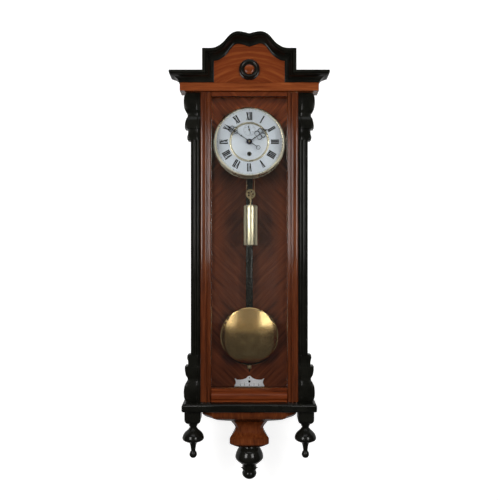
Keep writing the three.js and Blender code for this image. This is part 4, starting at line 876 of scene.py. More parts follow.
def curve_through(
    points: Sequence[Sequence[float]], steps: int = 6, corners: Sequence[int] = ()
) -> list[tuple[float, ...]]:
    """Runs a smooth curve through points, broken at the corners.

    Args:
        points: the points, of any number of ways.
        steps: the number of steps between two points.
        corners: the numbers of the points where the curve has a corner.

    Returns:
        The points of the curve.
    """
    breaks = sorted({0, len(points) - 1, *corners})
    curve: list[tuple[float, ...]] = [tuple(points[0])]
    for start, end in zip(breaks, breaks[1:]):
        run = points[start : end + 1]
        if len(run) == 2:
            curve.append(tuple(run[1]))
            continue
        for index in range(len(run) - 1):
            before, here = run[max(index - 1, 0)], run[index]
            following, after = run[index + 1], run[min(index + 2, len(run) - 1)]
            for step in range(1, steps + 1):
                share = step / steps
                spot = []
                for a, b, c, d in zip(before, here, following, after):
                    first, second = (c - a) / 2, (d - b) / 2
                    cubic = (2 * b - 2 * c + first + second) * share + (-3 * b + 3 * c - 2 * first - second)
                    spot.append((cubic * share + first) * share + b)
                curve.append(tuple(spot))
    return curve


def circle(radius: float, x: float = 0.0, z: float = 0.0, sides: int = 64) -> list[Point2]:
    """Draws a circle across the front.

    Args:
        radius: its radius.
        x: how far its middle is across.
        z: how far its middle is up.
        sides: the number of its points.

    Returns:
        The points.
    """
    angles = [FULL * number / sides for number in range(sides)]
    return [(x + radius * math.cos(angle), z + radius * math.sin(angle)) for angle in angles]


def turn_flat(points: Sequence[Point2], degrees: float, x: float = 0.0, z: float = 0.0) -> list[Point2]:
    """Turns flat points clockwise, as a hand turns, and moves them.

    Args:
        points: the points, across and up.
        degrees: the angle.
        x: how far they are then moved across.
        z: how far they are then moved up.

    Returns:
        The moved points.
    """
    angle = math.radians(degrees)
    across, up = math.cos(angle), math.sin(angle)
    return [(x + u * across + v * up, z - u * up + v * across) for u, v in points]


def curve_mesh(curve: Curve, front: float, thickness: float) -> Mesh:
    """Makes a flat curve drawn in millimetres a mesh that faces the front.

    Args:
        curve: the curve or text.
        front: how far its front face is from the wall.
        thickness: its thickness.

    Returns:
        The mesh, in metres.
    """
    holder = put(curve.name, curve)
    mesh = as_made(holder)
    bpy.data.objects.remove(holder)
    bpy.data.curves.remove(curve)
    place = Matrix.Translation((0, -(front - thickness / 2) * MM, 0))
    mesh.transform(place @ Matrix.Scale(MM, 4) @ Matrix.Rotation(math.pi / 2, 4, "X"))
    return mesh


def flat_mesh(name: str, loops: Loops, front: float, thickness: float, bevel: float = 0.0) -> Mesh:
    """Cuts a plate with holes that faces the front and returns its mesh.

    Args:
        name: the mesh's name.
        loops: the outline and the holes, in millimetres across and up.
        front: how far its front face is from the wall.
        thickness: its thickness.
        bevel: the width of its eased edge.

    Returns:
        The mesh, in metres.
    """
    curve = bpy.data.curves.new(name, "CURVE")
    curve.dimensions = "2D"
    curve.fill_mode = "BOTH"
    curve.extrude = thickness / 2 - bevel
    curve.bevel_depth = bevel
    curve.bevel_resolution = 1
    curve.offset = -bevel
    for loop in loops:
        spline = curve.splines.new("POLY")
        spline.points.add(len(loop) - 1)
        for point, (across, up) in zip(spline.points, loop):
            point.co = (across, up, 0, 1)
        spline.use_cyclic_u = True
    return curve_mesh(curve, front, thickness)


def flat(
    name: str, loops: Loops, front: float, thickness: float, finish: Material, bevel: float = 0.0
) -> Object:
    """Cuts a plate with holes that faces the front, as flat_mesh does, and returns it as a piece."""
    return settle(name, flat_mesh(name, loops, front, thickness, bevel), finish, 30)


def as_one(name: str, meshes: Sequence[Mesh], finish: Material, sharp: float = 30.0) -> Object:
    """Puts several meshes into one piece and removes them.

    Args:
        name: the piece's name.
        meshes: the meshes, in metres, in place.
        finish: its material.
        sharp: the angle past which an edge stays sharp.

    Returns:
        The piece.
    """
    work = bmesh.new()
    for mesh in meshes:
        work.from_mesh(mesh)
        bpy.data.meshes.remove(mesh)
    whole = bpy.data.meshes.new(name)
    work.to_mesh(whole)
    work.free()
    return settle(name, whole, finish, sharp)


def carve(piece: Object, tool: Object, operation: str = "DIFFERENCE") -> Object:
    """Cuts a tool's shape from a piece, or joins it to the piece, and takes the tool away.

    Args:
        piece: the piece.
        tool: the tool.
        operation: DIFFERENCE to cut, UNION to join.

    Returns:
        The new piece.
    """
    modifier = piece.modifiers.new("carve", "BOOLEAN")
    modifier.operation = operation
    modifier.solver = "EXACT"
    modifier.object = tool
    mesh, name, finish = as_made(piece), piece.name, piece.data.materials[0]
    drop_shape(piece)
    drop_shape(tool)
    return settle(name, mesh, finish, 30)


def block(name: str, low: Point3, high: Point3, finish: Material, ease: float = 0.0) -> Object:
    """Makes a squared piece with eased edges.

    Args:
        name: the piece's name.
        low: its lowest corner, in millimetres.
        high: its highest corner.
        finish: its material.
        ease: the width of its eased edges.

    Returns:
        The piece.
    """
    corners = [(x, y, z) for x in (low[0], high[0]) for y in (low[1], high[1]) for z in (low[2], high[2])]
    faces = [(0, 1, 3, 2), (4, 6, 7, 5), (0, 4, 5, 1), (2, 3, 7, 6), (0, 2, 6, 4), (1, 5, 7, 3)]
    work = bmesh.new()
    points = [work.verts.new(Vector(corner) * MM) for corner in corners]
    for face in faces:
        work.faces.new([points[number] for number in face])
    if ease:
        bmesh.ops.bevel(work, geom=work.edges[:], offset=ease * MM, segments=3, affect="EDGES", profile=0.5)
    mesh = bpy.data.meshes.new(name)
    work.to_mesh(mesh)
    work.free()
    return settle(name, mesh, finish, 40)


def taken(*pieces: Object) -> list[Mesh]:
    """Takes pieces out of the scene and keeps their meshes.

    Args:
        pieces: the pieces.

    Returns:
        The meshes.
    """
    meshes = [piece.data for piece in pieces]
    for piece in pieces:
        bpy.data.objects.remove(piece)
    return meshes


def mirrored(points: Sequence[Point2]) -> list[Point2]:
    """Returns points mirrored from right to left, in the opposite order."""
    return [(-across, up) for across, up in reversed(points)]


class Repeater:
    """Geometry Nodes trees for what repeats on the clock."""

    def __init__(self) -> None:
        """Builds each tree once."""
        self.round_tree = self._round_tree()
        self.points_tree = self._points_tree()
        self.winding_tree = self._winding_tree()

    @staticmethod
    def _end(wires: Wiring, geometry: object, finish: object) -> NodeTree:
        """Ends a tree in real geometry with its material.

        Args:
            wires: the tree's wiring.
            geometry: the socket of what it makes.
            finish: the socket of its material.

        Returns:
            The tree.
        """
        real = wires.add("GeometryNodeRealizeInstances", {"Geometry": geometry}).outputs[0]
        painted = wires.add("GeometryNodeSetMaterial", {"Geometry": real, "Material": finish}).outputs[0]
        wires.add("NodeGroupOutput", {"Geometry": painted})
        wires.tree.is_modifier = True
        return wires.tree

    @staticmethod
    def _copies(wires: Wiring, spots: object, shape: object, angle: object) -> NodeSocket:
        """Sets a shape on spots.

        Args:
            wires: the tree's wiring.
            spots: the socket of the points.
            shape: the socket of the shape's object.
            angle: how far each copy is turned about the upright axis.

        Returns:
            The socket of the copies.
        """
        pattern = wires.add("GeometryNodeObjectInfo", {"Object": shape}).outputs["Geometry"]
        inputs = {"Points": spots, "Instance": pattern, "Rotation": wires.join(0.0, 0.0, angle)}
        return wires.add("GeometryNodeInstanceOnPoints", inputs).outputs[0]

    def _round_tree(self) -> NodeTree:
        """Repeats a shape round the upright axis.

        Returns:
            The tree.
        """
        wanted = {"Shape": "Object", "Count": "Int", "Start": "Float", "Finish": "Material"}
        wires, given = new_tree("GeometryNodeTree", "Repeat round an axis", wanted, {"Geometry": "Geometry"})
        spots = wires.add("GeometryNodePoints", {"Count": given["Count"]}).outputs[0]
        share = wires.math("DIVIDE", wires.add("GeometryNodeInputIndex").outputs[0], given["Count"])
        angle = wires.math("MULTIPLY_ADD", share, FULL, given["Start"])
        return self._end(wires, self._copies(wires, spots, given["Shape"], angle), given["Finish"])

    def _points_tree(self) -> NodeTree:
        """Sets a shape on a mesh's points, each turned by chance about its own axis.

        Returns:
            The tree.
        """
        wanted = {"Places": "Geometry", "Shape": "Object", "Seed": "Int", "Finish": "Material"}
        wires, given = new_tree("GeometryNodeTree", "Set on points", wanted, {"Geometry": "Geometry"})
        chance = wires.add("FunctionNodeRandomValue", {"Seed": given["Seed"]}, data_type="FLOAT").outputs[1]
        angle = wires.math("MULTIPLY", chance, FULL)
        return self._end(wires, self._copies(wires, given["Places"], given["Shape"], angle), given["Finish"])

    def _winding_tree(self) -> NodeTree:
        """Winds a line round an upright drum.

        Returns:
            The tree.
        """
        names = ("Turns", "Radius", "Height", "Line Radius")
        wanted = {**{name: "Float" for name in names}, "Finish": "Material"}
        wires, given = new_tree("GeometryNodeTree", "Wind a line", wanted, {"Geometry": "Geometry"})
        turns, radius, height, thin = (given[name] for name in names)
        sizes = {"Rotations": turns, "Start Radius": radius, "End Radius": radius, "Height": height}
        spiral = wires.add("GeometryNodeCurveSpiral", {"Resolution": 24, **sizes}).outputs[0]
        section = wires.add("GeometryNodeCurvePrimitiveCircle", {"Resolution": 8, "Radius": thin}).outputs[0]
        inputs = {"Curve": spiral, "Profile Curve": section, "Fill Caps": True}
        return self._end(wires, wires.add("GeometryNodeCurveToMesh", inputs).outputs[0], given["Finish"])

    @staticmethod
    def run(name: str, tree: NodeTree, values: dict[str, object], points: Sequence[Point3] = ()) -> Mesh:
        """Runs a tree once, and takes its pattern shape away.

        Args:
            name: the mesh's name.
            tree: the tree.
            values: the inputs, by name.
            points: places in millimetres, for the tree that reads them.

        Returns:
            What it makes, as a plain mesh.
        """
        seed = bpy.data.meshes.new(name)
        seed.from_pydata([(x * MM, y * MM, z * MM) for x, y, z in points], [], [])
        holder = put(name, seed)
        modifier = holder.modifiers.new("repeat", "NODES")
        modifier.node_group = tree
        for item in tree.interface.items_tree:
            if item.item_type == "SOCKET" and item.in_out == "INPUT" and item.name in values:
                modifier[item.identifier] = values[item.name]
        mesh = as_made(holder)
        drop_shape(holder)
        if "Shape" in values:
            drop_shape(values["Shape"])
        return mesh

    def around(self, name: str, shape: Object, count: int, start: float, finish: Material) -> Mesh:
        """Returns copies of a shape round the upright axis, from a start angle."""
        values = {"Shape": shape, "Count": count, "Start": start, "Finish": finish}
        return self.run(name, self.round_tree, values)


TO_FRONT = Matrix.Rotation(math.pi / 2, 4, "X")


@dataclass
class Builder:
    """What every sub-assembly shares: the finishes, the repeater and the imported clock's solid parts."""

    finishes: Finishes
    repeater: Repeater
    nodes: dict[str, Object]

    @staticmethod
    def fit(piece: Object, body: str, slot: str, *stands_for: str) -> None:
        """Makes a piece ride on a body.

        Args:
            piece: the piece, in place.
            body: the body that it moves with.
            slot: the record's material slot, which is not used.
            stands_for: the solid parts that it replaces.
        """
        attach(piece, body)
        if stands_for:
            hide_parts(*stands_for)
        log.info("%s rides on %s", piece.name, body)

    def dress(self, finish: Material, *names: str) -> None:
        """Gives solid parts that stay as they are their finish.

        Args:
            finish: the material.
            names: the solid parts.
        """
        for name in names:
            materials = self.nodes[name].data.materials
            materials.clear()
            materials.append(finish)
            log.info("%s keeps its own shape", name)

    def screws(
        self, name: str, places: Sequence[Point3], body: str, radius: float, finish: Material, seed: int
    ) -> None:
        """Sets slotted cheese-head screws whose heads face the front.

        Args:
            name: the piece's name.
            places: the middle of each head's seat, in millimetres.
            body: the body that they are driven into.
            radius: the heads' radius.
            finish: their material.
            seed: the seed for the way that the slots point.
        """
        height, half, reach = radius * 0.55, radius * 0.13, radius * 1.2
        edge = [(0.92, -1), (1, -0.7), (1, 0.75), (0.86, 1)]
        profile = [(0, -height), *[(radius * a, height * b) for a, b in edge], (0, height)]
        head = turned("screw_head", profile, (0, 0, 0), Axis.UP, finish, 24)
        cutter = block("screw_slot", (-reach, -half, height * 0.35), (reach, half, height * 2), finish)
        values = {"Shape": carve(head, cutter), "Seed": seed, "Finish": finish}
        mesh = self.repeater.run(name, self.repeater.points_tree, values, [(x, z, -y) for x, y, z in places])
        mesh.transform(TO_FRONT)
        self.fit(settle(name, mesh, finish, 30), body, "steel")


# The case


@dataclass
class Case(Builder):
    """The case's crown, crest, posts, brackets, base, drop and turned finials."""

    half: float = 125.3
    frieze_half: float = 175.8
    frieze_front: float = 190.3
    board_bottom: float = 422.5
    crown_rise: float = 25.1
    crown_reach: float = 24.0
    crown_back: float = 165.0
    crest_half: float = 117.2
    crest_shoulder: float = 501.6
    crest_rise: float = 41.4
    field_half: float = 89.2
    field_shoulder: float = 476.7
    field_rise: float = 43.3
    roundel_height: float = 454.0
    roundel_radius: float = 26.0
    roundel_thickness: float = 13.0
    post_width: float = 24.0
    post_back: float = 144.4
    post_front: float = 174.4
    post_span: Point2 = (-267.7, 280.4)
    reed_height: float = 3.0
    bracket_width: float = 43.4
    bracket_back: float = 146.4
    bracket_front: float = 174.4
    upper_span: Point2 = (280.7, 401.7)
    lower_span: Point2 = (-268.0, -387.3)
    floor: float = -387.6
    base_thickness: float = 19.8
    base_half: float = 170.0
    base_front: float = 200.0
    base_ease: float = 1.4
    drop_top: float = -407.7
    drop_height: float = 107.0
    drop_half: float = 121.0
    drop_front: float = 188.0
    drop_cant: float = 0.22
    centre_finial: Point3 = (0.0, -120.0, -515.0)
    centre_radius: float = 37.0
    centre_height: float = 89.5
    collar_share: float = 0.69
    side_finial: Point3 = (144.0, -165.0, -407.7)
    side_radius: float = 27.5
    side_height: float = 90.3
    block_half: float = 20.5
    block_height: float = 35.5
    lap: float = 0.3

    def build(self) -> None:
        """Builds and dresses every piece of the case."""
        finishes, dress = self.finishes, self.dress
        dress(finishes.back, "backboard")
        dress(finishes.side, "side_frame_left", "side_frame_right", "top_board")
        dress(finishes.glass, "side_glass_left", "side_glass_right")
        dress(finishes.frieze, "frieze_board")
        dress(finishes.crest, "crest_board")
        dress(finishes.steel, "hanger_plate")
        self.crown()
        self.roundel()
        self.posts()
        self.brackets()
        self.base()
        self.drop()
        self.finials()
        self.fastenings()

    def crown(self) -> None:
        """Runs the black moulding along the sides and wings and over the crest."""
        section = [(0.0, 0.0), (0.0, 0.07), (0.05, 0.10)]
        cove = [(0.05, 0.10), (0.2, 0.14), (0.34, 0.27), (0.45, 0.46), (0.52, 0.68), (0.54, 0.80)]
        section += curve_through(cove, 4)[1:]
        section += [(0.575, 0.80)]
        bead = [(0.575 + 0.09 * a, 0.80 + 0.16 * math.sin(math.pi * a)) for a in (0.12, 0.3, 0.5, 0.7, 0.88)]
        section += [
            *bead, (0.665, 0.82), (0.69, 0.84), (0.70, 0.97), (0.72, 1.0), (0.96, 1.0), (0.99, 0.98),
            (1.0, 0.94), (1.0, 0.0),
        ]
        edge_shares = [
            (1, 0), (0.785, 0.01), (0.674, 0.11), (0.555, 0.35), (0.435, 0.74), (0.341, 0.93), (0.239, 1),
            (0.111, 0.95), (0, 0.87),
        ]
        field_shares = [
            (1, 0), (0.93, 0.02), (0.854, 0.07), (0.673, 0.314), (0.546, 0.647), (0.438, 0.908), (0.294, 1),
            (0.133, 0.908), (0, 0.815),
        ]
        edge, field = curve_through(edge_shares, 8), curve_through(field_shares, 8)
        outer = [(self.crest_half * a, self.crest_shoulder + self.crest_rise * b) for a, b in edge]
        inner = [(self.field_half * a, self.field_shoulder + self.field_rise * b) for a, b in field]
        bottom, side, seat = self.board_bottom, self.frieze_half, self.frieze_front
        reach = self.crown_reach
        right = [
            ((side, -self.crown_back, bottom), (0.0, self.crown_rise), (reach, 0.0)),
            ((side, -seat, bottom), (0.0, self.crown_rise), (reach, -reach)),
            (
                (self.field_half, -seat, bottom),
                (self.crest_half - self.field_half, self.crown_rise),
                (0.0, -reach),
            ),
        ]
        right += [
            ((x, -seat, z), (far - x, high - z), (0.0, -reach)) for (x, z), (far, high) in zip(inner, outer)
        ]
        left = [
            ((-x, y, z), (-a, up), (-out, front)) for (x, y, z), (a, up), (out, front) in reversed(right[:-1])
        ]
        rings = []
        for (x, y, z), (across, up), (out, front) in [*right, *left]:
            rings.append([(x + across * a + out * b, y + front * b, z + up * a) for a, b in section])
        crown = loft("crown_run", rings, self.finishes.satin, 24)
        self.fit(crown, "case", "ebonised", "crown_moulding")

    def roundel(self) -> None:
        """Turns the black ring and the walnut boss on the crest."""
        place = (0.0, -self.frieze_front, self.roundel_height)
        radius, thick = self.roundel_radius, self.roundel_thickness
        outline = [
            (0.49, 0), (1, 0), (1, 0.3), (0.985, 0.42), (0.93, 0.47), (0.90, 0.62), (0.86, 0.86), (0.76, 1),
            (0.66, 0.93), (0.6, 0.8), (0.57, 0.6), (0.49, 0.5),
        ]
        ring = [(radius * a, thick * b) for a, b in curve_through(outline, 5, (1, 2, 4, 10))]
        black = self.finishes.black
        piece = turned("roundel_ring", ring, place, Axis.FRONT, black)
        self.fit(piece, "case", "ebonised", "crest_roundel_ring")
        outline = [(0, 0), (0.475, 0), (0.475, 0.5), (0.42, 0.62), (0.3, 0.69), (0.15, 0.72), (0, 0.73)]
        boss = [(radius * a, thick * b) for a, b in curve_through(outline, 5, (1, 2))]
        piece = turned("roundel_boss", boss, place, Axis.FRONT, self.finishes.crest)
        self.fit(piece, "case", "walnut", "crest_roundel_boss")

    def posts(self) -> None:
        """Runs the reeded posts beside the door."""
        reeds, steps = ((0.1, 0.38, 1.0), (0.6, 0.78, 0.8)), 16
        face: list[Point2] = [(0.0, 0.0), (0.03, 0.0), (0.06, -0.25)]
        for start, end, height in reeds:
            for step in range(steps + 1):
                share = step / steps
                face.append((start + (end - start) * share, height * math.sin(math.pi * share) ** 0.5))
            face.append((end + 0.04, -0.35))
            face.append((end + 0.10, -0.35) if end < 0.5 else (end + 0.08, -0.3))
        face += [(0.90, 0.0), (0.97, 0.0), (1.0, -0.3)]
        low, high = self.post_span
        near, wide = self.half, self.post_width
        for name, sign in SIDES:
            ring = [(sign * near, -self.post_back)]
            ring += [(sign * (near + wide * a), -self.post_front - self.reed_height * b) for a, b in face]
            ring += [(sign * (near + wide), -self.post_back)]
            rings = [[(x, y, z) for x, y in ring] for z in (low, high)]
            post = loft("reeded_post_" + name, rings, self.finishes.satin, 28)
            self.fit(post, "case", "ebonised", "pilaster_" + name)

    def brackets(self) -> None:
        """Carves the scrolled brackets above and below the posts."""
        shares = [
            (0.62, 0), (0.74, 0.008), (0.775, 0.025), (0.785, 0.08), (0.75, 0.13), (0.735, 0.19),
            (0.745, 0.243), (0.905, 0.247), (0.915, 0.26), (0.912, 0.34), (0.86, 0.44), (0.782, 0.495),
            (0.756, 0.53), (0.8, 0.585), (0.905, 0.641), (0.955, 0.706), (0.975, 0.79), (0.97, 0.87),
            (0.945, 0.93), (0.86, 1),
        ]
        outline = curve_through(shares, 5, (6, 7, 12))
        for name, sign in SIDES:
            for level, (slim, wide) in (("upper", self.upper_span), ("lower", self.lower_span)):
                rings = []
                for out, up in outline:
                    width = self.bracket_width * out
                    front = self.bracket_back + (self.bracket_front - self.bracket_back) * out
                    height = slim + (wide - slim) * up
                    rings.append(self._bracket_ring(sign, width, front, height))
                bracket = loft(f"{level}_scroll_{name}", rings, self.finishes.satin, 40)
                self.fit(bracket, "case", "ebonised", f"{level}_bracket_{name}")

    def _bracket_ring(self, sign: int, width: float, front: float, height: float) -> list[Point3]:
        """Draws one level of a bracket, with a sunk fillet down its front and an eased outer corner.

        Args:
            sign: the side, -1 for the left and 1 for the right.
            width: how far it stands out sideways.
            front: its depth from the wall.
            height: the level.

        Returns:
            The ring.
        """
        ease, sunk, steps = 2.2, 1.1, 4
        near, far = self.half, self.half + width
        corner = []
        for step in range(steps + 1):
            angle = math.pi / 2 * step / steps
            corner.append((far - ease + ease * math.sin(angle), -(front - ease + ease * math.cos(angle))))
        fillet = [(0.0, 0.0), (0.16, 0.0), (0.19, sunk), (0.24, 0.0)]
        face = [(near, -self.bracket_back), *[(near + width * a, -front + down) for a, down in fillet]]
        ring = [*face, *corner, (far, -self.bracket_back)]
        return [(sign * x, y, height) for x, y in ring]

    @staticmethod
    def _board_ring(half: float, front: float, height: float, ease: float) -> list[Point3]:
        """Draws one level of a board against the wall.

        Args:
            half: half its width.
            front: its depth from the wall.
            height: the level.
            ease: the size of its eased front corners.

        Returns:
            The ring.
        """
        corner = [(0.0, 1.0), (0.12, 0.72), (0.72, 0.12), (1.0, 0.0)]
        left = [(-half, 0.0), *[(-half + ease * a, -front + ease * b) for a, b in corner]]
        return [(x, y, height) for x, y in [*left, *mirrored(left)]]

    def base(self) -> None:
        """Moulds the base board with a rounded nose and a small step."""
        top, deep = self.floor, self.base_thickness
        nose = [
            (0.0, -4.0), (0.04, -2.6), (0.16, -1.2), (0.2, -0.9), (0.24, 0.0), (0.5, 0.0), (0.76, 0.0),
            (0.86, -0.4), (0.94, -1.1), (1.0, -2.2),
        ]
        rings = []
        for share, set_back in curve_through(nose, 4, (3, 4, 6)):
            half, front = self.base_half + set_back, self.base_front + set_back
            rings.append(self._board_ring(half, front, top - deep * share, self.base_ease))
        base = loft("base_moulding", rings, self.finishes.black, 26)
        self.fit(base, "case", "ebonised", "base_board")

    def drop(self) -> None:
        """Shapes the walnut drop under the base."""
        shares = [
            (0, 1, 1, 1), (0.127, 1, 0.99, 1), (0.197, 0.94, 0.965, 0.98), (0.25, 0.83, 0.92, 0.95),
            (0.289, 0.644, 0.87, 0.9), (0.335, 0.43, 0.82, 0.85), (0.42, 0.368, 0.77, 0.8),
            (0.51, 0.313, 0.745, 0.78), (0.595, 0.3, 0.74, 0.78), (0.675, 0.34, 0.76, 0.7),
            (0.773, 0.423, 0.82, 0.56), (0.894, 0.423, 0.83, 0.56), (0.944, 0.385, 0.8, 0.6),
            (1, 0.28, 0.75, 0.7),
        ]
        rings = []
        for down, half, front, back in curve_through(shares, 5, (1, 10, 11)):
            height = self.drop_top - self.drop_height * down
            wide, deep = self.drop_half * half, self.drop_front * front
            cut = wide * self.drop_cant
            left = [(-wide * back, 0.0), (-wide, -deep + cut), (-wide + cut, -deep)]
            rings.append([(x, y, height) for x, y in [*left, *mirrored(left)]])
        drop = loft("walnut_drop", rings, self.finishes.drop, 26)
        self.fit(drop, "case", "walnut", "drop_bracket")

    def finials(self) -> None:
        """Turns the middle finial with its leaf collar, and the two side finials with their blocks."""
        black = self.finishes.black
        radius, height = self.centre_radius, self.centre_height
        shares = [
            (0, 0), (0.64, 0), (0.67, 0.03), (0.64, 0.06), (0.66, 0.07), (0.82, 0.134), (0.95, 0.248),
            (1, 0.346), (0.96, 0.4), (0.875, 0.443), (0.66, 0.52), (0.42, 0.6), (0.4, 0.625), (0.5, 0.655),
            (0.5, 0.70), (0.43, 0.755), (0.494, 0.8), (0.51, 0.85), (0.445, 0.92), (0.25, 0.985), (0, 1),
        ]
        outline = curve_through(shares, 6, (1, 3, 4, 11, 12, 13, 14, 15))
        profile = [(radius * a, -height * b) for a, b in outline]
        body = turned("centre_turning", profile, self.centre_finial, Axis.UP, black)
        self.fit(body, "case", "ebonised", "centre_finial")
        leaf = self._leaf(radius)
        leaves = self.repeater.around("leaf_collar", leaf, 10, 0.0, black)
        leaves.transform(Matrix.Translation(Vector(self.centre_finial) * MM))
        self.fit(settle("leaf_collar", leaves, black, 50), "case", "ebonised")
        radius, height = self.side_radius, self.side_height
        shares = [
            (0, 0), (0.5, 0), (0.31, 0.13), (0.40, 0.16), (0.46, 0.19), (0.84, 0.3), (1, 0.41), (0.95, 0.47),
            (0.72, 0.51), (0.42, 0.55), (0.29, 0.62), (0.21, 0.77), (0.22, 0.80), (0.3, 0.84), (0.35, 0.91),
            (0.25, 0.97), (0.12, 0.995), (0, 1),
        ]
        outline = curve_through(shares, 6, (1, 2, 4, 12))
        for name, sign in SIDES:
            place = (sign * self.side_finial[0], self.side_finial[1], self.side_finial[2])
            levels = curve_through([(0.62, 1), (0.72, 0.985), (0.8, 0.94), (0.92, 0.8), (1, 0.6)], 5)
            half, deep = self.block_half, self.block_height
            rings = [self._square(place, half, 0.0)]
            rings += [self._square(place, half * wide, -deep * down) for down, wide in levels]
            foot = loft("side_block", rings, black, 32)
            start = (place[0], place[1], place[2] + self.lap - self.block_height)
            profile = [(radius * a, -height * b) for a, b in outline]
            finial = turned("side_turning", profile, start, Axis.UP, black, 96)
            whole = as_one("side_turning_" + name, taken(foot, finial), black, 32)
            self.fit(whole, "case", "ebonised", "side_finial_" + name)

    @staticmethod
    def _square(place: Point3, half: float, rise: float) -> list[Point3]:
        """Draws a square level with cut corners.

        Args:
            place: the middle of the block's top.
            half: half its width.
            rise: how far above the top it lies.

        Returns:
            The ring.
        """
        cut = half * 0.08
        front = [(-half, -half + cut), (-half + cut, -half)]
        front += mirrored(front)
        ring = [*front, *[(x, -y) for x, y in reversed(front)]]
        return [(place[0] + x, place[1] + y, place[2] + rise) for x, y in ring]

    def _leaf(self, radius: float) -> Object:
        """Carves one pointed leaf of the collar, to be repeated round the finial.

        Args:
            radius: the finial's radius.

        Returns:
            The leaf.
        """
        stem, tip = radius * 0.38, radius * 0.63
        height = -self.centre_height * self.collar_share
        rows = []
        for share in (0.0, 0.25, 0.5, 0.75, 1.0):
            out = stem + (tip - stem) * share
            half = 5.2 * math.sin(math.pi * min(0.28 + share * 0.72, 0.99)) + 0.05
            lift = 1.6 * share * share
            edge, ridge, hollow = height + lift, 1.4 * (1 - share), 2.4 * (1 - share * 0.8)
            tops = (out, 0.0, edge + ridge), (out, half, edge)
            rows.append([(out, -half, edge), *tops, (out, 0.0, edge - hollow)])
        return loft("leaf", rows, self.finishes.black, 50)

    def fastenings(self) -> None:
        """Drives the screws of the hanging plate."""
        steel = self.finishes.steel
        low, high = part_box("hanger_plate")
        front, middle, foot = low.y / MM, (low.x + high.x) / 2 / MM, low.z / MM
        places = [(middle + across, front, foot + up) for across, up in ((-10, 9), (10, 9), (0, 24))]
        self.screws("hanger_screws", places, "case", 3.2, steel, 4)


# The door


@dataclass
class Door(Builder):
    """The glazed door's moulded frame."""

    half: float = 125.0
    back: float = 161.0
    front: float = 180.0
    bottom: float = -386.6
    top: float = 401.0
    stile_width: float = 28.5
    back_chamfer: float = 3.0
    nose: float = 5.0
    rail_half: float = 96.2
    rail_top: float = -353.1
    rail_reach: float = 5.0

    def build(self) -> None:
        """Builds and dresses the door."""
        finishes, dress = self.finishes, self.dress
        dress(finishes.shaded, "door_top_rail")
        dress(finishes.glass, "door_glass")
        dress(finishes.brass, "door_pivot_top", "door_pivot_foot")
        self.stiles()
        self.bottom_rail()

    def stiles(self) -> None:
        """Runs the two stiles with their bead, groove and sloping inner band."""
        thick = self.front - self.back
        shares = [
            (0.43, 0.0), (0.445, -0.07), (0.51, -0.12), (0.575, -0.07), (0.59, 0.0), (0.61, 0.13),
            (0.65, 0.15), (0.69, 0.13), (0.71, 0.04), (0.78, 0.0), (0.88, 0.03), (0.96, 0.14), (1.0, 0.3),
        ]
        face = curve_through(shares, 5, (0, 4, 8))
        steps = 6
        quarter = [math.pi / 2 * step / steps for step in range(steps, -1, -1)]
        nose = [(self.nose * (1 - math.sin(angle)), self.nose * (1 - math.cos(angle))) for angle in quarter]
        for name, sign in SIDES:
            ring = [(self.back_chamfer, thick), (0.0, thick - self.back_chamfer), *nose]
            ring += [(self.stile_width * a, thick * b) for a, b in face]
            ring.append((self.stile_width, thick))
            spots = [(sign * (self.half - across), -self.front + down) for across, down in ring]
            rings = [[(x, y, z) for x, y in spots] for z in (self.bottom, self.top)]
            stile = loft("stile_run_" + name, rings, self.finishes.stile, 26)
            self.fit(stile, "door", "walnut", "door_stile_" + name)

    def bottom_rail(self) -> None:
        """Runs the bottom rail's mouldings across."""
        shares = [
            (0, 0), (0.02, 0.3), (0.16, 0.3), (0.2, 0), (0.34, 0), (0.36, 0.3), (0.4, 0.62), (0.5, 0.95),
            (0.62, 1), (0.74, 0.8), (0.82, 0.2), (0.86, 0), (1, 0),
        ]
        outline = curve_through(shares, 5, (1, 2, 3, 4, 10, 11))
        height = self.rail_top - self.bottom
        ring = [(-self.back, self.rail_top)]
        ring += [
            (-self.front - self.rail_reach * out, self.rail_top - height * down) for down, out in outline
        ]
        ring += [(-self.back, self.bottom)]
        rings = [[(x, y, z) for y, z in ring] for x in (-self.rail_half, self.rail_half)]
        rail = loft("bottom_rail_run", rings, self.finishes.rail, 26)
        self.fit(rail, "door", "walnut", "door_bottom_rail")


# The dial and its hands


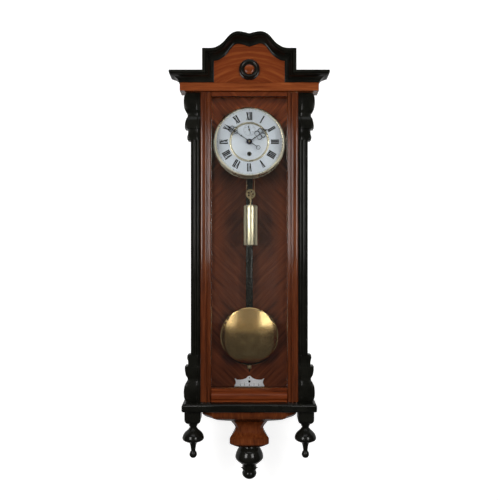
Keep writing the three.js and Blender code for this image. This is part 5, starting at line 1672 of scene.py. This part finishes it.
@dataclass
class Numerals:
    """Roman figures drawn in thick and thin strokes."""

    foot: float = 56.8
    head: float = 78.3
    thick: float = 3.5
    thin: float = 1.4
    pitch: float = 4.1
    broad_pitch: float = 1.95
    serif: float = 0.7
    overhang: float = 0.5

    def strokes(self, figure: str) -> list[list[Point2]]:
        """Draws one figure, upright and centred.

        Args:
            figure: the figure, written with I, V and X.

        Returns:
            The outline of each stroke, from foot to head.
        """
        thick, thin, height = self.thick, self.thin, self.head - self.foot
        wide = self.pitch * self.broad_pitch
        widths = {"I": self.pitch, "V": wide, "X": wide}
        broad, slight = thick / 2 + self.overhang, thin / 2 + self.overhang * 1.4
        start = -sum(widths[letter] for letter in figure) / 2
        strokes: list[list[Point2]] = []
        for letter in figure:
            middle, reach = start + widths[letter] / 2, widths[letter] / 2 - thick * 0.42
            left, right = middle - reach, middle + reach
            ends = [(left, broad), (right, slight)]
            bars, heads, feet = {
                "I": ([(middle, middle, thick)], [(middle, broad)], [(middle, broad)]),
                "V": ([(middle, left, thick), (middle, right, thin)], ends, []),
                "X": ([(right, left, thick), (left, right, thin)], ends, [(right, slight), (left, slight)]),
            }[letter]
            strokes += [self._bar(foot, head, width, height) for foot, head, width in bars]
            strokes += [self._serif(place, half, height - self.serif) for place, half in heads]
            strokes += [self._serif(place, half, 0.0) for place, half in feet]
            start += widths[letter]
        return strokes

    @staticmethod
    def _bar(foot: float, head: float, width: float, height: float) -> list[Point2]:
        """Returns a straight stroke between two places."""
        half = width / 2
        return [(foot - half, 0.0), (foot + half, 0.0), (head + half, height), (head - half, height)]

    def _serif(self, middle: float, half: float, low: float) -> list[Point2]:
        """Returns a thin cross stroke whose lower edge is at that height."""
        left, right, high = middle - half, middle + half, low + self.serif
        return [(left, low), (right, low), (right, high), (left, high)]


@dataclass(frozen=True)
class Track:
    """A printed track of sixty marks, of which twelve are long, between two thin rings."""

    inner: float
    outer: float
    long_inner: float
    half_mark: float
    half_long: float
    half_ring: float
    sides: int


@dataclass(frozen=True)
class Hand:
    """A pierced hand. Each of its loops gives shares of its reach: along it, across it and for a radius."""

    name: str
    reach: float
    hub: float
    bore: float
    stem: float
    degrees: float
    plane: float
    loops: tuple[Point3, ...]
    tail: float = 0.0


@dataclass
class Dial(Builder):
    """The enamel dial with its rings, bezel, figures and hands."""

    height: float = 285.0
    chapter_front: float = 128.0
    centre_front: float = 126.8
    seat: float = 125.3
    winder_height: float = 253.5
    square_tip: float = 122.0
    square_foot: float = 113.0
    square_side: float = 4.4
    square_skin: float = 0.1
    seconds_height: float = 316.5
    digit_radius: float = 11.3
    digit_size: float = 3.4
    minute_track: Track = Track(
        inner=83.4, outer=85.7, long_inner=82.6, half_mark=0.16, half_long=0.42, half_ring=0.12, sides=192
    )
    seconds_track: Track = Track(
        inner=14.2, outer=15.7, long_inner=13.6, half_mark=0.1, half_long=0.2, half_ring=0.09, sides=96
    )
    hand_thickness: float = 0.9

    def build(self) -> None:
        """Builds the dial and the hands."""
        self.dress(self.finishes.brass, "dial_plate")
        self.rings()
        self.figures()
        self.minute_marks()
        self.seconds_marks()
        self.hands()

    def rings(self) -> None:
        """Turns the chapter ring, the brass ring, the sunk centre and the bezel."""
        finishes, fit = self.finishes, self.fit
        place, sides = (0.0, 0.0, self.height), 256
        seat = self.seat
        chapter = [
            (52.5, seat), (52.6, 127.4), (52.9, 127.85), (53.5, 128.0), (86.4, 128.0), (87.0, 127.8),
            (87.6, 126.8), (88.0, seat),
        ]
        piece = turned("chapter_enamel", chapter, place, Axis.FRONT, finishes.enamel, sides)
        fit(piece, "case", "enamel", "chapter_ring")
        outline = [
            (47.6, seat), (47.6, 127.2), (48.0, 127.9), (48.7, 128.3), (49.0, 129.0), (49.9, 129.5),
            (50.8, 129.0), (51.1, 128.4), (51.8, 128.2), (52.2, 127.4), (52.2, seat),
        ]
        ring = curve_through(outline, 4, (1, 3, 7, 9))
        piece = turned("inner_brass_ring", ring, place, Axis.FRONT, finishes.bezel, sides)
        fit(piece, "case", "polished_brass", "dial_inner_ring")
        loops = [
            circle(47.25, 0, self.height, 192),
            circle(4.3, 0, self.height, 48),
            circle(5.5, 0, self.winder_height, 48),
            circle(1.9, 0, self.seconds_height, 32),
        ]
        front = self.centre_front
        centre = flat("centre_enamel", loops, front, front - seat, finishes.enamel, 0.2)
        fit(centre, "case", "enamel", "dial_centre")
        # The eyelet is a real part; its dark japanned iron is painted shade for the winding hole.
        eyelet = [
            (3.7, 113.4), (3.7, 126.9), (4.1, 127.2), (5.4, 127.3), (5.8, 127.0), (5.8, 126.6), (5.2, 126.6),
            (5.2, 113.4),
        ]
        winder = (0.0, 0.0, self.winder_height)
        fit(turned("winding_eyelet", eyelet, winder, Axis.FRONT, finishes.iron, 64), "case", "steel")
        tip = self.square_tip + self.square_skin
        half = self.square_side / 2 + self.square_skin
        low = (-half, -tip, self.winder_height - half)
        high = (half, -self.square_foot, self.winder_height + half)
        fit(block("winding_square", low, high, finishes.iron, 0.2), "winding_drum", "steel")
        outline = [
            (86.8, 128.0), (86.8, 130.4), (87.1, 131.1), (87.9, 131.5), (88.9, 131.2), (89.6, 130.4),
            (89.9, 129.2), (90.6, 128.3), (91.2, 126.6), (91.9, 122.0), (92.9, 116.5), (93.7, 112.4),
            (95.3, 111.6), (95.5, 110.9), (95.5, 110.0), (91.9, 110.0), (90.4, 120.0), (88.9, 128.0),
        ]
        bezel = curve_through(outline, 4, (1, 6, 11, 13, 14, 15, 17))
        piece = turned("dial_bezel_spun", bezel, place, Axis.FRONT, finishes.bezel, sides)
        fit(piece, "case", "polished_brass", "dial_bezel")

    def figures(self) -> None:
        """Paints the twelve Roman figures with their feet to the middle."""
        style, lift, apart, thick = Numerals(), 0.05, 0.003, 0.09
        figures = ("XII", "I", "II", "III", "IIII", "V", "VI", "VII", "VIII", "IX", "X", "XI")
        meshes = []
        for number, figure in enumerate(figures):
            for order, stroke in enumerate(style.strokes(figure)):
                lifted = [(u, v + style.foot) for u, v in stroke]
                placed = turn_flat(lifted, number * 30, 0, self.height)
                front = self.chapter_front + lift + apart * order
                meshes.append(flat_mesh("stroke", [placed], front, thick))
        self.fit(as_one("hour_figures", meshes, self.finishes.ink), "case", "enamel")

    def _printed(self, track: Track, height: float, front: float) -> list[Mesh]:
        """Prints a track's marks and rings.

        Args:
            track: its sizes.
            height: the middle's height.
            front: how far the enamel's face is from the wall.

        Returns:
            The meshes, in place.
        """
        ink, meshes = self.finishes.faint_ink, []
        marks = ((60, track.inner, track.half_mark, 0.02), (12, track.long_inner, track.half_long, 0.025))
        for count, inner, half, lift in marks:
            ring = [(inner, -half), (track.outer, -half), (track.outer, half), (inner, half)]
            mark = loft("mark", [[(x, y, z) for x, y in ring] for z in (-0.05, 0.05)], ink, 30)
            copies = self.repeater.around("marks", mark, count, math.pi / 2, ink)
            copies.transform(Matrix.Translation((0, -(front + lift) * MM, height * MM)) @ TO_FRONT)
            meshes.append(copies)
        for radius in (track.inner, track.outer):
            radii = (radius + track.half_ring, radius - track.half_ring)
            loops = [circle(reach, 0, height, track.sides) for reach in radii]
            meshes.append(flat_mesh("rail", loops, front + 0.07, 0.1))
        return meshes

    def minute_marks(self) -> None:
        """Paints the minute track."""
        meshes = self._printed(self.minute_track, self.height, self.chapter_front)
        self.fit(as_one("minute_track", meshes, self.finishes.faint_ink), "case", "enamel")

    def seconds_marks(self) -> None:
        """Paints the seconds track and its small figures."""
        front = self.centre_front
        meshes = self._printed(self.seconds_track, self.seconds_height, front)
        for number in range(6):
            angle = math.radians(number * 60)
            across, up = self.digit_radius * math.sin(angle), self.digit_radius * math.cos(angle)
            spot, text = (across, self.seconds_height + up), str(number * 10 or 60)
            meshes.append(figure_mesh(text, self.digit_size, spot, front + 0.06, 0.1))
        self.fit(as_one("seconds_track", meshes, self.finishes.faint_ink), "case", "enamel")

    def hands(self) -> None:
        """Saws the pierced hour and minute hands and the seconds hand, and turns their collets."""
        place = (0.0, 0.0, self.height)
        hour = Hand(
            name="hour_hand_sawn", reach=58.0, hub=7.4, bore=5.4, stem=1.5, degrees=55.4, plane=131.6,
            loops=(
                (0.5, 0.1, 0.12), (0.5, -0.1, 0.12), (0.68, 0.13, 0.105), (0.68, -0.13, 0.105),
                (0.82, 0.0, 0.09),
            ),
        )
        minute = Hand(
            name="minute_hand_sawn", reach=81.0, hub=5.6, bore=3.3, stem=1.45, degrees=304.8, plane=134.6,
            tail=34.0,
            loops=(
                (0.52, 0.0, 0.06), (0.6, 0.06, 0.075), (0.6, -0.06, 0.075), (0.71, 0.042, 0.062),
                (0.71, -0.042, 0.062),
            ),
        )
        self.fit(self._pierced(hour), "hour_pipe", "blued_steel", "hour_hand")
        self.fit(self._pierced(minute), "minute_arbor", "blued_steel", "minute_hand")
        self.fit(self._seconds_hand(), "escape", "blued_steel", "seconds_hand")
        collet = [(3.1, 134.4), (3.1, 135.9), (3.7, 136.3), (4.6, 136.1), (5.0, 135.3), (5.0, 134.4)]
        piece = turned("minute_collet", collet, place, Axis.FRONT, self.finishes.blued, 64)
        self.fit(piece, "minute_arbor", "brass")
        pin = [(0.0, 133.0), (1.9, 133.0), (1.9, 137.0), (1.5, 137.8), (0.0, 138.0)]
        piece = turned("minute_arbor_end", pin, place, Axis.FRONT, self.finishes.bright, 32)
        self.fit(piece, "minute_arbor", "brass")

    def _pierced(self, hand: Hand) -> Object:
        """Saws a pierced hand.

        Args:
            hand: its sizes.

        Returns:
            The hand.
        """
        reach, hub, stem, thick = hand.reach, hand.hub, hand.stem, self.hand_thickness

        def plate(name: str, outline: Loops, lift: float) -> Object:
            """Cuts one part of the hand, already turned."""
            placed = [turn_flat(loop, hand.degrees, 0, self.height) for loop in outline]
            return flat(name, placed, hand.plane + thick + lift, thick, self.finishes.blued)

        piece = plate(hand.name, [circle(hub, sides=72), circle(hand.bore, sides=48)], 0.0)
        parts: list[Loops] = []
        width = stem * 0.85
        for along, across, size in hand.loops:
            radius, x, z = reach * size, reach * across, reach * along
            parts.append([circle(radius, x, z, 56), circle(radius - width, x * 0.93, z - width * 0.25, 40)])
        near = reach * min(along for along, _, _ in hand.loops)
        far = max(along + size for along, _, size in hand.loops)
        parts.append([self._blade(hub * 0.85, near, stem * 0.62, stem * 0.42)])
        parts.append([self._blade(near * 0.96, reach * (far - 0.04), stem * 0.42, stem * 0.45)])
        parts.append([self._spear(reach * (far - 0.05), reach, stem * 1.7)])
        collar = [(-stem * 1.9, near * 0.62), (0.0, near * 0.66), (stem * 1.9, near * 0.62)]
        parts.append([[*collar, (stem * 0.5, near * 0.56), (-stem * 0.5, near * 0.56)]])
        if hand.tail:
            ring = hand.tail * 0.16
            middle = -hand.tail + ring
            parts.append([circle(ring, 0, middle, 48), circle(ring - stem * 0.8, 0, middle, 40)])
            parts.append([self._blade(middle + ring * 0.9, -hub * 0.85, stem * 0.5, stem * 0.62)])
        for order, outline in enumerate(parts):
            piece = carve(piece, plate("part", outline, 0.0008 * (order % 3 - 1)), "UNION")
        return piece

    @staticmethod
    def _blade(start: float, end: float, first: float, second: float) -> list[Point2]:
        """Returns a straight blade that tapers from one half width to another."""
        return [(-first, start), (first, start), (second, end), (-second, end)]

    @staticmethod
    def _spear(start: float, end: float, half: float) -> list[Point2]:
        """Draws the pointed tip of a hand.

        Args:
            start: where it starts, up from the middle.
            end: where it ends.
            half: its greatest half width.

        Returns:
            The outline.
        """
        shares = [(0.3, 0.0), (1.0, 0.22), (0.45, 0.5), (0.2, 0.8)]
        right = [*[(half * a, start + (end - start) * b) for a, b in shares], (0.12, end)]
        return [*curve_through(right, 5), *mirrored(curve_through(right, 5))]

    def _seconds_hand(self) -> Object:
        """Saws the thin seconds hand with its bulged end.

        Returns:
            The hand.
        """
        reach, tail, hub, degrees, plane = 15.5, 11.0, 2.4, 162.0, 128.7
        blued, height = self.finishes.blued, self.seconds_height
        bulge = [(0.35, -1.5), (0.4, -tail * 0.35), (1.15, -tail * 0.68), (0.95, -tail * 0.9), (0.1, -tail)]
        curve = curve_through(bulge, 5)
        tip = [(-0.42, 0.0), (-0.15, reach), (0.15, reach)]
        outline = turn_flat([(0.42, 0.0), *curve, *mirrored(curve), *tip], degrees, 0, height)
        thick = self.hand_thickness
        blade = flat("seconds_hand_sawn", [outline], plane + thick, thick, blued)
        profile = [(1.0, 128.75), (hub, 128.75), (hub, 129.9), (hub * 0.7, 130.2), (1.0, 130.2)]
        return carve(blade, turned("boss", profile, (0, 0, height), Axis.FRONT, blued, 40), "UNION")


def figure_mesh(
    text: str, size: float, spot: Point2, front: float, thickness: float, bold: float = 0.0
) -> Mesh:
    """Makes small printed figures a mesh.

    Args:
        text: the figures.
        size: their size in millimetres.
        spot: their middle, across and up.
        front: how far their face is from the wall.
        thickness: their thickness.
        bold: how far their strokes are thickened.

    Returns:
        The mesh, in metres.
    """
    curve = bpy.data.curves.new("figures", "FONT")
    curve.offset = bold
    curve.body = text
    curve.size = size
    curve.extrude = thickness / 2
    curve.align_x = "CENTER"
    curve.align_y = "CENTER"
    curve.resolution_u = 3
    mesh = curve_mesh(curve, front, thickness)
    mesh.transform(Matrix.Translation((spot[0] * MM, 0, spot[1] * MM)))
    return mesh


# Movement, pendulum and weight


@dataclass
class Movement(Builder):
    """The movement behind the dial."""

    drum_axis: float = 253.5
    drum_radius: float = 7.0
    line_radius: float = 0.6
    winding_span: Point2 = (76.0, 90.6)
    plate_height: float = 285.0
    pillar_places: Point2 = (38.0, 58.0)

    def build(self) -> None:
        """Dresses the movement's parts and adds what holds them."""
        finishes, dress = self.finishes, self.dress
        dress(finishes.iron, "movement_bracket")
        dress(finishes.brass, "back_plate", "front_plate", "centre_wheel", "hour_wheel", "minute_wheel")
        dress(finishes.brass, "great_wheel", "third_wheel", "escape_wheel", "drum")
        dress(finishes.steel, "click", "anchor")
        self.winding()
        self.plate_screws()

    def winding(self) -> None:
        """Winds the line's upper turns on the drum."""
        start, end = self.winding_span
        values = {
            "Turns": (end - start) / (self.line_radius * 2),
            "Radius": (self.drum_radius + 0.05) * MM,
            "Height": (end - start) * MM,
            "Line Radius": (self.line_radius - 0.02) * MM,
            "Finish": self.finishes.gut,
        }
        mesh = self.repeater.run("drum_winding", self.repeater.winding_tree, values)
        mesh.transform(Matrix.Translation((0, -start * MM, self.drum_axis * MM)) @ TO_FRONT)
        self.fit(settle("drum_winding", mesh, self.finishes.gut, 60), "winding_drum", "gut")

    def plate_screws(self) -> None:
        """Drives the screws into the plates' pillars."""
        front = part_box("front_plate")[0].y / MM
        across, up = self.pillar_places
        places = [(x, front, self.plate_height + z) for x in (-across, across) for z in (-up, up)]
        self.screws("plate_screws", places, "case", 3.4, self.finishes.blued, 7)


@dataclass
class Pendulum(Builder):
    """The wooden rod, the brass bob and the rating nut."""

    axis: float = 45.0
    bob_height: float = -239.0
    bob_radius: float = 80.0
    bob_front: float = 58.0
    rim_front: float = 53.3
    bob_back: float = 40.0
    rod_half: float = 9.5
    rod_half_thickness: float = 4.0
    rod_play: float = 0.3
    rod_span: Point2 = (-303.0, 305.0)
    thread_foot: float = -339.0
    nut_span: Point2 = (-330.3, -319.3)
    nut_radius: float = 6.5

    def build(self) -> None:
        """Builds the pendulum."""
        self.dress(self.finishes.brass, "pendulum_hanger")
        self.rod()
        self.bob()
        self.nut()

    def rod(self) -> None:
        """Planes the flat rod with its eased edges and its thread."""
        low, high = self.rod_span
        half, thin, black = self.rod_half, self.rod_half_thickness, self.finishes.black
        rod = block("rod_plain", (-half, -self.axis - thin, low), (half, -self.axis + thin, high), black, 1.4)
        outline = [(0.0, low + 6)]
        height = low + 6
        while height > self.thread_foot + 1:
            outline += [(2.0, height), (1.65, height - 0.5)]
            height -= 1.0
        outline += [(1.6, self.thread_foot + 0.4), (1.2, self.thread_foot), (0.0, self.thread_foot)]
        thread = turned("thread", outline, (0, -self.axis, 0), Axis.UP, black, 32, 60)
        piece = as_one("pendulum_stick", taken(rod, thread), black, 40)
        self.fit(piece, "pendulum", "ebonised", "pendulum_rod")

    def bob(self) -> None:
        """Spins the bob, a flat lens with a rolled edge, open behind for the rod."""
        radius, back = self.bob_radius, self.bob_back
        rise, steps, rim = self.bob_front - self.rim_front, 32, 0.94
        outline: list[Point2] = [(0.0, self.bob_front)]
        for step in range(1, steps + 1):
            share = step / steps * rim
            outline.append((radius * share, self.rim_front + rise * (1 - (share / rim) ** 2)))
        edge = [
            (0.965, 52.8), (0.985, 52.1), (0.996, 51.1), (1.0, 50.0), (1.0, 47.2), (0.99, 46.0), (0.96, 45.0)
        ]
        edge += [(0.8, 42.6), (0.5, back), (0.0, back)]
        outline += [(radius * share, front) for share, front in edge]
        place = (0.0, 0.0, self.bob_height)
        lens = turned("bob_lens", outline, place, Axis.FRONT, self.finishes.bob, 256, 50)
        play = self.rod_play
        half, deep = self.rod_half + play, -self.axis - self.rod_half_thickness - play
        low = (-half, deep, self.bob_height - radius - 5)
        high = (half, -back + 5, self.bob_height + radius + 5)
        bob = carve(lens, block("slot", low, high, self.finishes.bob))
        self.fit(bob, "bob", "polished_brass", "pendulum_bob")

    def nut(self) -> None:
        """Turns the rating nut and knurls its edge."""
        low, high = self.nut_span
        span, radius = high - low, self.nut_radius
        shares = [
            (0.35, 0.0), (0.75, 0.0), (0.75, 0.22), (0.88, 0.27), (0.93, 0.33), (0.93, 0.86), (0.85, 0.93),
            (0.8, 1.0), (0.35, 1.0),
        ]
        profile = [(radius * a, high - span * b) for a, b in shares]
        brass = self.finishes.dull
        body = turned("nut_body", profile, (0.0, -self.axis, 0.0), Axis.UP, brass, 72)
        wedge = [(0.9, -0.28), (0.985, -0.05), (0.985, 0.05), (0.9, 0.28)]
        levels = (high - span * 0.84, high - span * 0.35)
        rib = loft("rib", [[(radius * share, y, z) for share, y in wedge] for z in levels], brass, 30)
        ribs = self.repeater.around("ribs", rib, 40, 0.0, brass)
        ribs.transform(Matrix.Translation((0, -self.axis * MM, 0)))
        knurled = as_one("rating_nut_knurled", [*taken(body), ribs], brass)
        self.fit(knurled, "nut", "brass", "rating_nut")


@dataclass
class Weight(Builder):
    """The brass weight, its pulley and the line."""

    axis: Point2 = (3.5, -90.0)
    pulley_height: float = 151.4
    pitch: float = 10.5
    line_radius: float = 0.6
    shell_radius: float = 19.2
    shell_span: Point2 = (12.7, 121.9)
    drum_height: float = 253.5
    post_height: float = 221.7

    def build(self) -> None:
        """Builds the weight and the line."""
        self.dress(self.finishes.lead, "weight_core")
        self.dress(self.finishes.dull, "pulley_stirrup")
        self.shell()
        self.pulley()
        self.line()

    def shell(self) -> None:
        """Turns the brass shell with its domed cap."""
        low, high = self.shell_span
        radius = self.shell_radius
        outline = [
            (0, high), (radius * 0.26, high), (radius * 0.5, high - 0.5), (radius * 0.78, high - 1.2),
            (radius * 0.9, high - 2.2), (radius * 0.93, high - 3.0), (radius * 0.985, high - 3.4),
            (radius, high - 4.2), (radius, low + 1.4), (radius * 0.985, low + 0.5), (radius * 0.955, low),
            (radius * 0.92, low), (radius * 0.92, high - 4.8), (0, high - 4.8),
        ]
        profile = curve_through(outline, 3, (1, 5, 7, 8, 10, 11, 12))
        shell = turned("weight_can", profile, (*self.axis, 0.0), Axis.UP, self.finishes.bright, 160)
        self.fit(shell, "weight", "polished_brass", "weight_shell")

    def pulley(self) -> None:
        """Turns the pulley and bores its five round windows."""
        low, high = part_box("pulley_wheel")
        half = (high.y - low.y) / MM / 2
        front = -self.axis[1]
        bore, radius, groove = 1.85, (high.x - low.x) / MM / 2, self.pitch - self.line_radius - 0.3
        sunk = -half + 0.35
        back = [(bore, -half), (groove * 0.34, -half), (groove * 0.37, sunk), (groove * 0.90, sunk)]
        back += [(groove * 0.93, -half), (radius * 0.97, -half), (radius, -half + 0.25)]
        back += [(groove + 0.5, -self.line_radius)]
        outline = [*back, (groove, 0.0), *[(r, -along) for r, along in reversed(back)]]
        place = (self.axis[0], 0.0, self.pulley_height)
        profile = [(r, front + along) for r, along in outline]
        wheel = turned("pulley_turned", profile, place, Axis.FRONT, self.finishes.dull, 96)
        middle = groove * 0.645
        outline = [
            (0, front - half - 1), (2.45, front - half - 1), (2.45, front + half + 1), (0, front + half + 1)
        ]
        for number in range(5):
            angle = FULL * number / 5
            centre = (place[0] + middle * math.cos(angle), 0.0, place[2] + middle * math.sin(angle))
            wheel = carve(wheel, turned("window", outline, centre, Axis.FRONT, self.finishes.brass, 32))
        self.fit(wheel, "pulley", "brass", "pulley_wheel")

    def line(self) -> None:
        """Runs the gut line from the drum down under the pulley and up to its post."""
        steps, bends, sides = 44, 24, 10
        x, y, z = self.axis[0], self.axis[1], self.pulley_height
        drum, post, pitch = self.drum_height, self.post_height, self.pitch
        shares = [step / steps for step in range(steps + 1)]
        route = [((x - pitch, y, drum + (z - drum) * share), 0.0) for share in shares[:-1]]
        for step in range(bends + 1):
            angle = math.pi * step / bends
            route.append(((x - pitch * math.cos(angle), y, z - pitch * math.sin(angle)), angle))
        route += [((x + pitch, y, z + (post - z) * share), math.pi) for share in shares[1:]]
        rings = []
        for (px, py, pz), turn in route:
            ring = []
            for side in range(sides):
                angle = FULL * side / sides
                out, forward = self.line_radius * math.cos(angle), self.line_radius * math.sin(angle)
                ring.append((px - out * math.cos(turn), py + forward, pz - out * math.sin(turn)))
            rings.append(ring)
        line = loft("gut_run", rings, self.finishes.gut, 60)
        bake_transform(line)
        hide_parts("weight_line")
        log.info("gut_run hangs between the weight and the case")


@dataclass
class BeatScale(Builder):
    """The enamel beat scale at the foot of the back."""

    foot: float = -387.0
    half: float = 42.0
    height: float = 30.0
    front: float = 15.9
    thickness: float = 1.6
    mark_rise: float = 7.6
    mark_pitch: float = 2.6
    digit_rise: float = 3.9
    digit_size: float = 5.8
    screw_rise: float = 14.2
    pin_rise: float = 24.5

    def build(self) -> None:
        """Cuts the plaque, prints its scale, and drives its screw and its pin."""
        shares = [
            (0, 1), (0.1, 0.95), (0.2, 0.8), (0.37, 0.69), (0.6, 0.63), (0.83, 0.63), (1, 0.77), (0.92, 0.48),
            (0.93, 0.26), (1, 0.09), (1, 0),
        ]
        right = [(self.half * a, self.foot + self.height * b) for a, b in curve_through(shares, 6, (5, 6, 9))]
        outline = [*right, *mirrored(right[1:])]
        finishes = self.finishes
        plaque = flat("beat_plaque", [outline], self.front, self.thickness, finishes.plaque, 0.2)
        self.fit(plaque, "case", "enamel", "beat_scale")
        meshes, low = [], self.foot + self.mark_rise
        for number in range(-10, 11):
            x, (long, half) = number * self.mark_pitch, (2.6, 0.4) if number % 5 == 0 else (1.5, 0.22)
            mark = [(x - half, low), (x + half, low), (x + half, low + long), (x - half, low + long)]
            meshes.append(flat_mesh("beat_mark", [mark], self.front + 0.05, 0.1))
        for number in range(-2, 3):
            spot = (number * 5 * self.mark_pitch, self.foot + self.digit_rise)
            meshes.append(figure_mesh(str(abs(number)), self.digit_size, spot, self.front + 0.06, 0.1, 0.34))
        self.fit(as_one("beat_marks", meshes, finishes.ink), "case", "enamel")
        heads = (("beat_screw", self.screw_rise, 3.2, 2), ("beat_pin", self.pin_rise, 1.4, 3))
        for name, rise, radius, seed in heads:
            self.screws(name, [(0.0, -self.front, self.foot + rise)], "case", radius, finishes.blued, seed)


# The studio


@dataclass(frozen=True)
class Lamp:
    """A soft rectangular lamp. A card is one that the pane doesn't mirror but the brass behind it does."""

    name: str
    place: Point3
    aim: Point3
    size: Point2
    power: float
    colour: Colour = (1.0, 1.0, 1.0)
    is_card: bool = False

    def hang(self) -> None:
        """Hangs the lamp."""
        data = bpy.data.lights.new(self.name, "AREA")
        data.shape = "RECTANGLE"
        data.size, data.size_y = self.size
        data.energy = self.power
        data.color = self.colour
        lamp = put(self.name, data)
        lamp.location = self.place
        lamp.rotation_euler = (Vector(self.aim) - Vector(self.place)).to_track_quat("-Z", "Y").to_euler()
        lamp.visible_glossy = not self.is_card


@dataclass
class Studio:
    """The pale wall and floor, the lamps and the camera."""

    camera_place: Point3 = (1.8, -1580.0, 0.0)
    lens: float = 39.68
    sensor: float = 36.0
    near_clip: float = 0.05
    wall_gap: float = 1.0
    floor_height: float = -900.0
    floor_front: float = -700.0
    reach: float = 3000.0
    pale: float = 0.45
    shadow_light: float = 0.06

    def build(self) -> None:
        """Sets up the whole studio."""
        bpy.context.scene.view_settings.view_transform = "Standard"
        self.camera()
        self.backdrop()
        self.lamps()
        self.world()

    def camera(self) -> None:
        """Puts the camera level with the middle of the picture."""
        data = bpy.data.cameras.new("camera")
        data.lens, data.sensor_width, data.clip_start = self.lens, self.sensor, self.near_clip
        camera = put("camera", data)
        camera.location = Vector(self.camera_place) * MM
        camera.rotation_euler = (math.pi / 2, 0, 0)
        bpy.context.scene.camera = camera

    def _pale(self, name: str, glow: float) -> Material:
        """Makes a matt surface, white to the camera, that keeps a soft shadow and is clear from behind.

        Args:
            name: the material's name.
            glow: how bright it is to the camera by itself.

        Returns:
            The material.
        """
        wires = Surface(name)
        drift = wires.span(wires.noise(wires.place, 3, 2), 0.3, 0.7)
        pale = wires.blend(drift, (self.pale,) * 3, (self.pale * 0.985,) * 3)
        wires.feed(wires.shader, {"Base Color": pale, "Roughness": 0.9})
        ray = wires.add("ShaderNodeLightPath").outputs
        faint = wires.math("MULTIPLY", ray["Is Glossy Ray"], 0.25)
        straight = wires.math("MAXIMUM", ray["Is Camera Ray"], ray["Is Transmission Ray"])
        strength = wires.math("MULTIPLY", wires.math("MAXIMUM", straight, faint), glow)
        light = wires.add("ShaderNodeEmission", {"Color": (1, 1, 1, 1), "Strength": strength}).outputs[0]
        both = wires.add("ShaderNodeAddShader", {0: wires.shader.outputs[0], 1: light}).outputs[0]
        clear = wires.add("ShaderNodeBsdfTransparent", {"Color": (1, 1, 1, 1)}).outputs[0]
        behind = wires.add("ShaderNodeNewGeometry").outputs["Backfacing"]
        return wires.show(wires.add("ShaderNodeMixShader", {0: behind, 1: both, 2: clear}))

    def backdrop(self) -> None:
        """Sets up the wall behind the clock and the floor below it."""
        wall_y, floor, front, wide = self.wall_gap, self.floor_height, self.floor_front, self.reach
        upright = [(-wide, wall_y, floor), (wide, wall_y, floor), (wide, wall_y, wide), (-wide, wall_y, wide)]
        level = [(-wide, front, floor), (wide, front, floor), (wide, wall_y, floor), (-wide, wall_y, floor)]
        face = [(0, 1, 2, 3)]
        wall = from_points("wall", upright, face, self._pale("Pale wall", 0.85))
        ground = from_points("floor", level, face, self._pale("Pale floor", 0.8))

    @staticmethod
    def lamps() -> None:
        """Hangs the soft boxes in front, the lamps above and behind, and the faint cards for the brass."""
        clock, bob, warm = (0, -0.1, 0.1), (0, -0.06, -0.14), (1.0, 0.985, 0.97)
        for lamp in (
            Lamp("left soft box", (-0.85, -1.62, 0.3), clock, (0.5, 0.7), 13.6, warm),
            Lamp("right soft box", (0.85, -1.62, 0.3), clock, (0.5, 0.7), 10.9, warm),
            Lamp("top lamp", (0.0, -1.5, 1.9), (0, -0.1, 0.0), (1.6, 0.8), 7.0, (0.96, 0.98, 1.0)),
            Lamp("rear lamp", (0.6, 1.6, 0.9), (0, 0.0, 0.0), (1.0, 1.0), 12.0),
            Lamp("right card", (0.37, -1.62, -0.07), bob, (0.30, 0.40), 0.9, is_card=True),
            Lamp("left card", (-0.372, -1.62, -0.08), bob, (0.14, 0.38), 0.32, is_card=True),
            Lamp("room card", (0.0, -2.3, 0.36), clock, (2.4, 1.7), 2.3, (1.0, 0.9, 0.75), is_card=True),
        ):
            lamp.hang()

    def world(self) -> None:
        """Lights the shadows softly, and shows white to the camera and through the panes."""
        world = bpy.data.worlds.new("studio")
        world.use_nodes = True
        bpy.context.scene.world = world
        wires = Wiring(world.node_tree)
        ray = wires.add("ShaderNodeLightPath").outputs
        unmirrored = wires.math("LESS_THAN", ray["Glossy Depth"], 0.5)
        through = wires.math("MULTIPLY", ray["Is Transmission Ray"], unmirrored)
        seen = wires.math("MAXIMUM", ray["Is Camera Ray"], through)
        strength = wires.math("MAXIMUM", seen, self.shadow_light)
        wires.feed(world.node_tree.nodes["Background"], {"Color": (1, 1, 1, 1), "Strength": strength})


def main() -> None:
    """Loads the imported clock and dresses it."""
    logging.basicConfig(level=logging.INFO, format="%(name)s: %(message)s")
    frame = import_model()
    Studio().build()
    shared = (Finishes(), Repeater(), frame["nodes"])
    for kind in (Case, Door, Dial, Movement, Pendulum, Weight, BeatScale):
        kind(*shared).build()
        log.info("%s is done", kind.__name__)


if __name__ == "__main__":
    main()
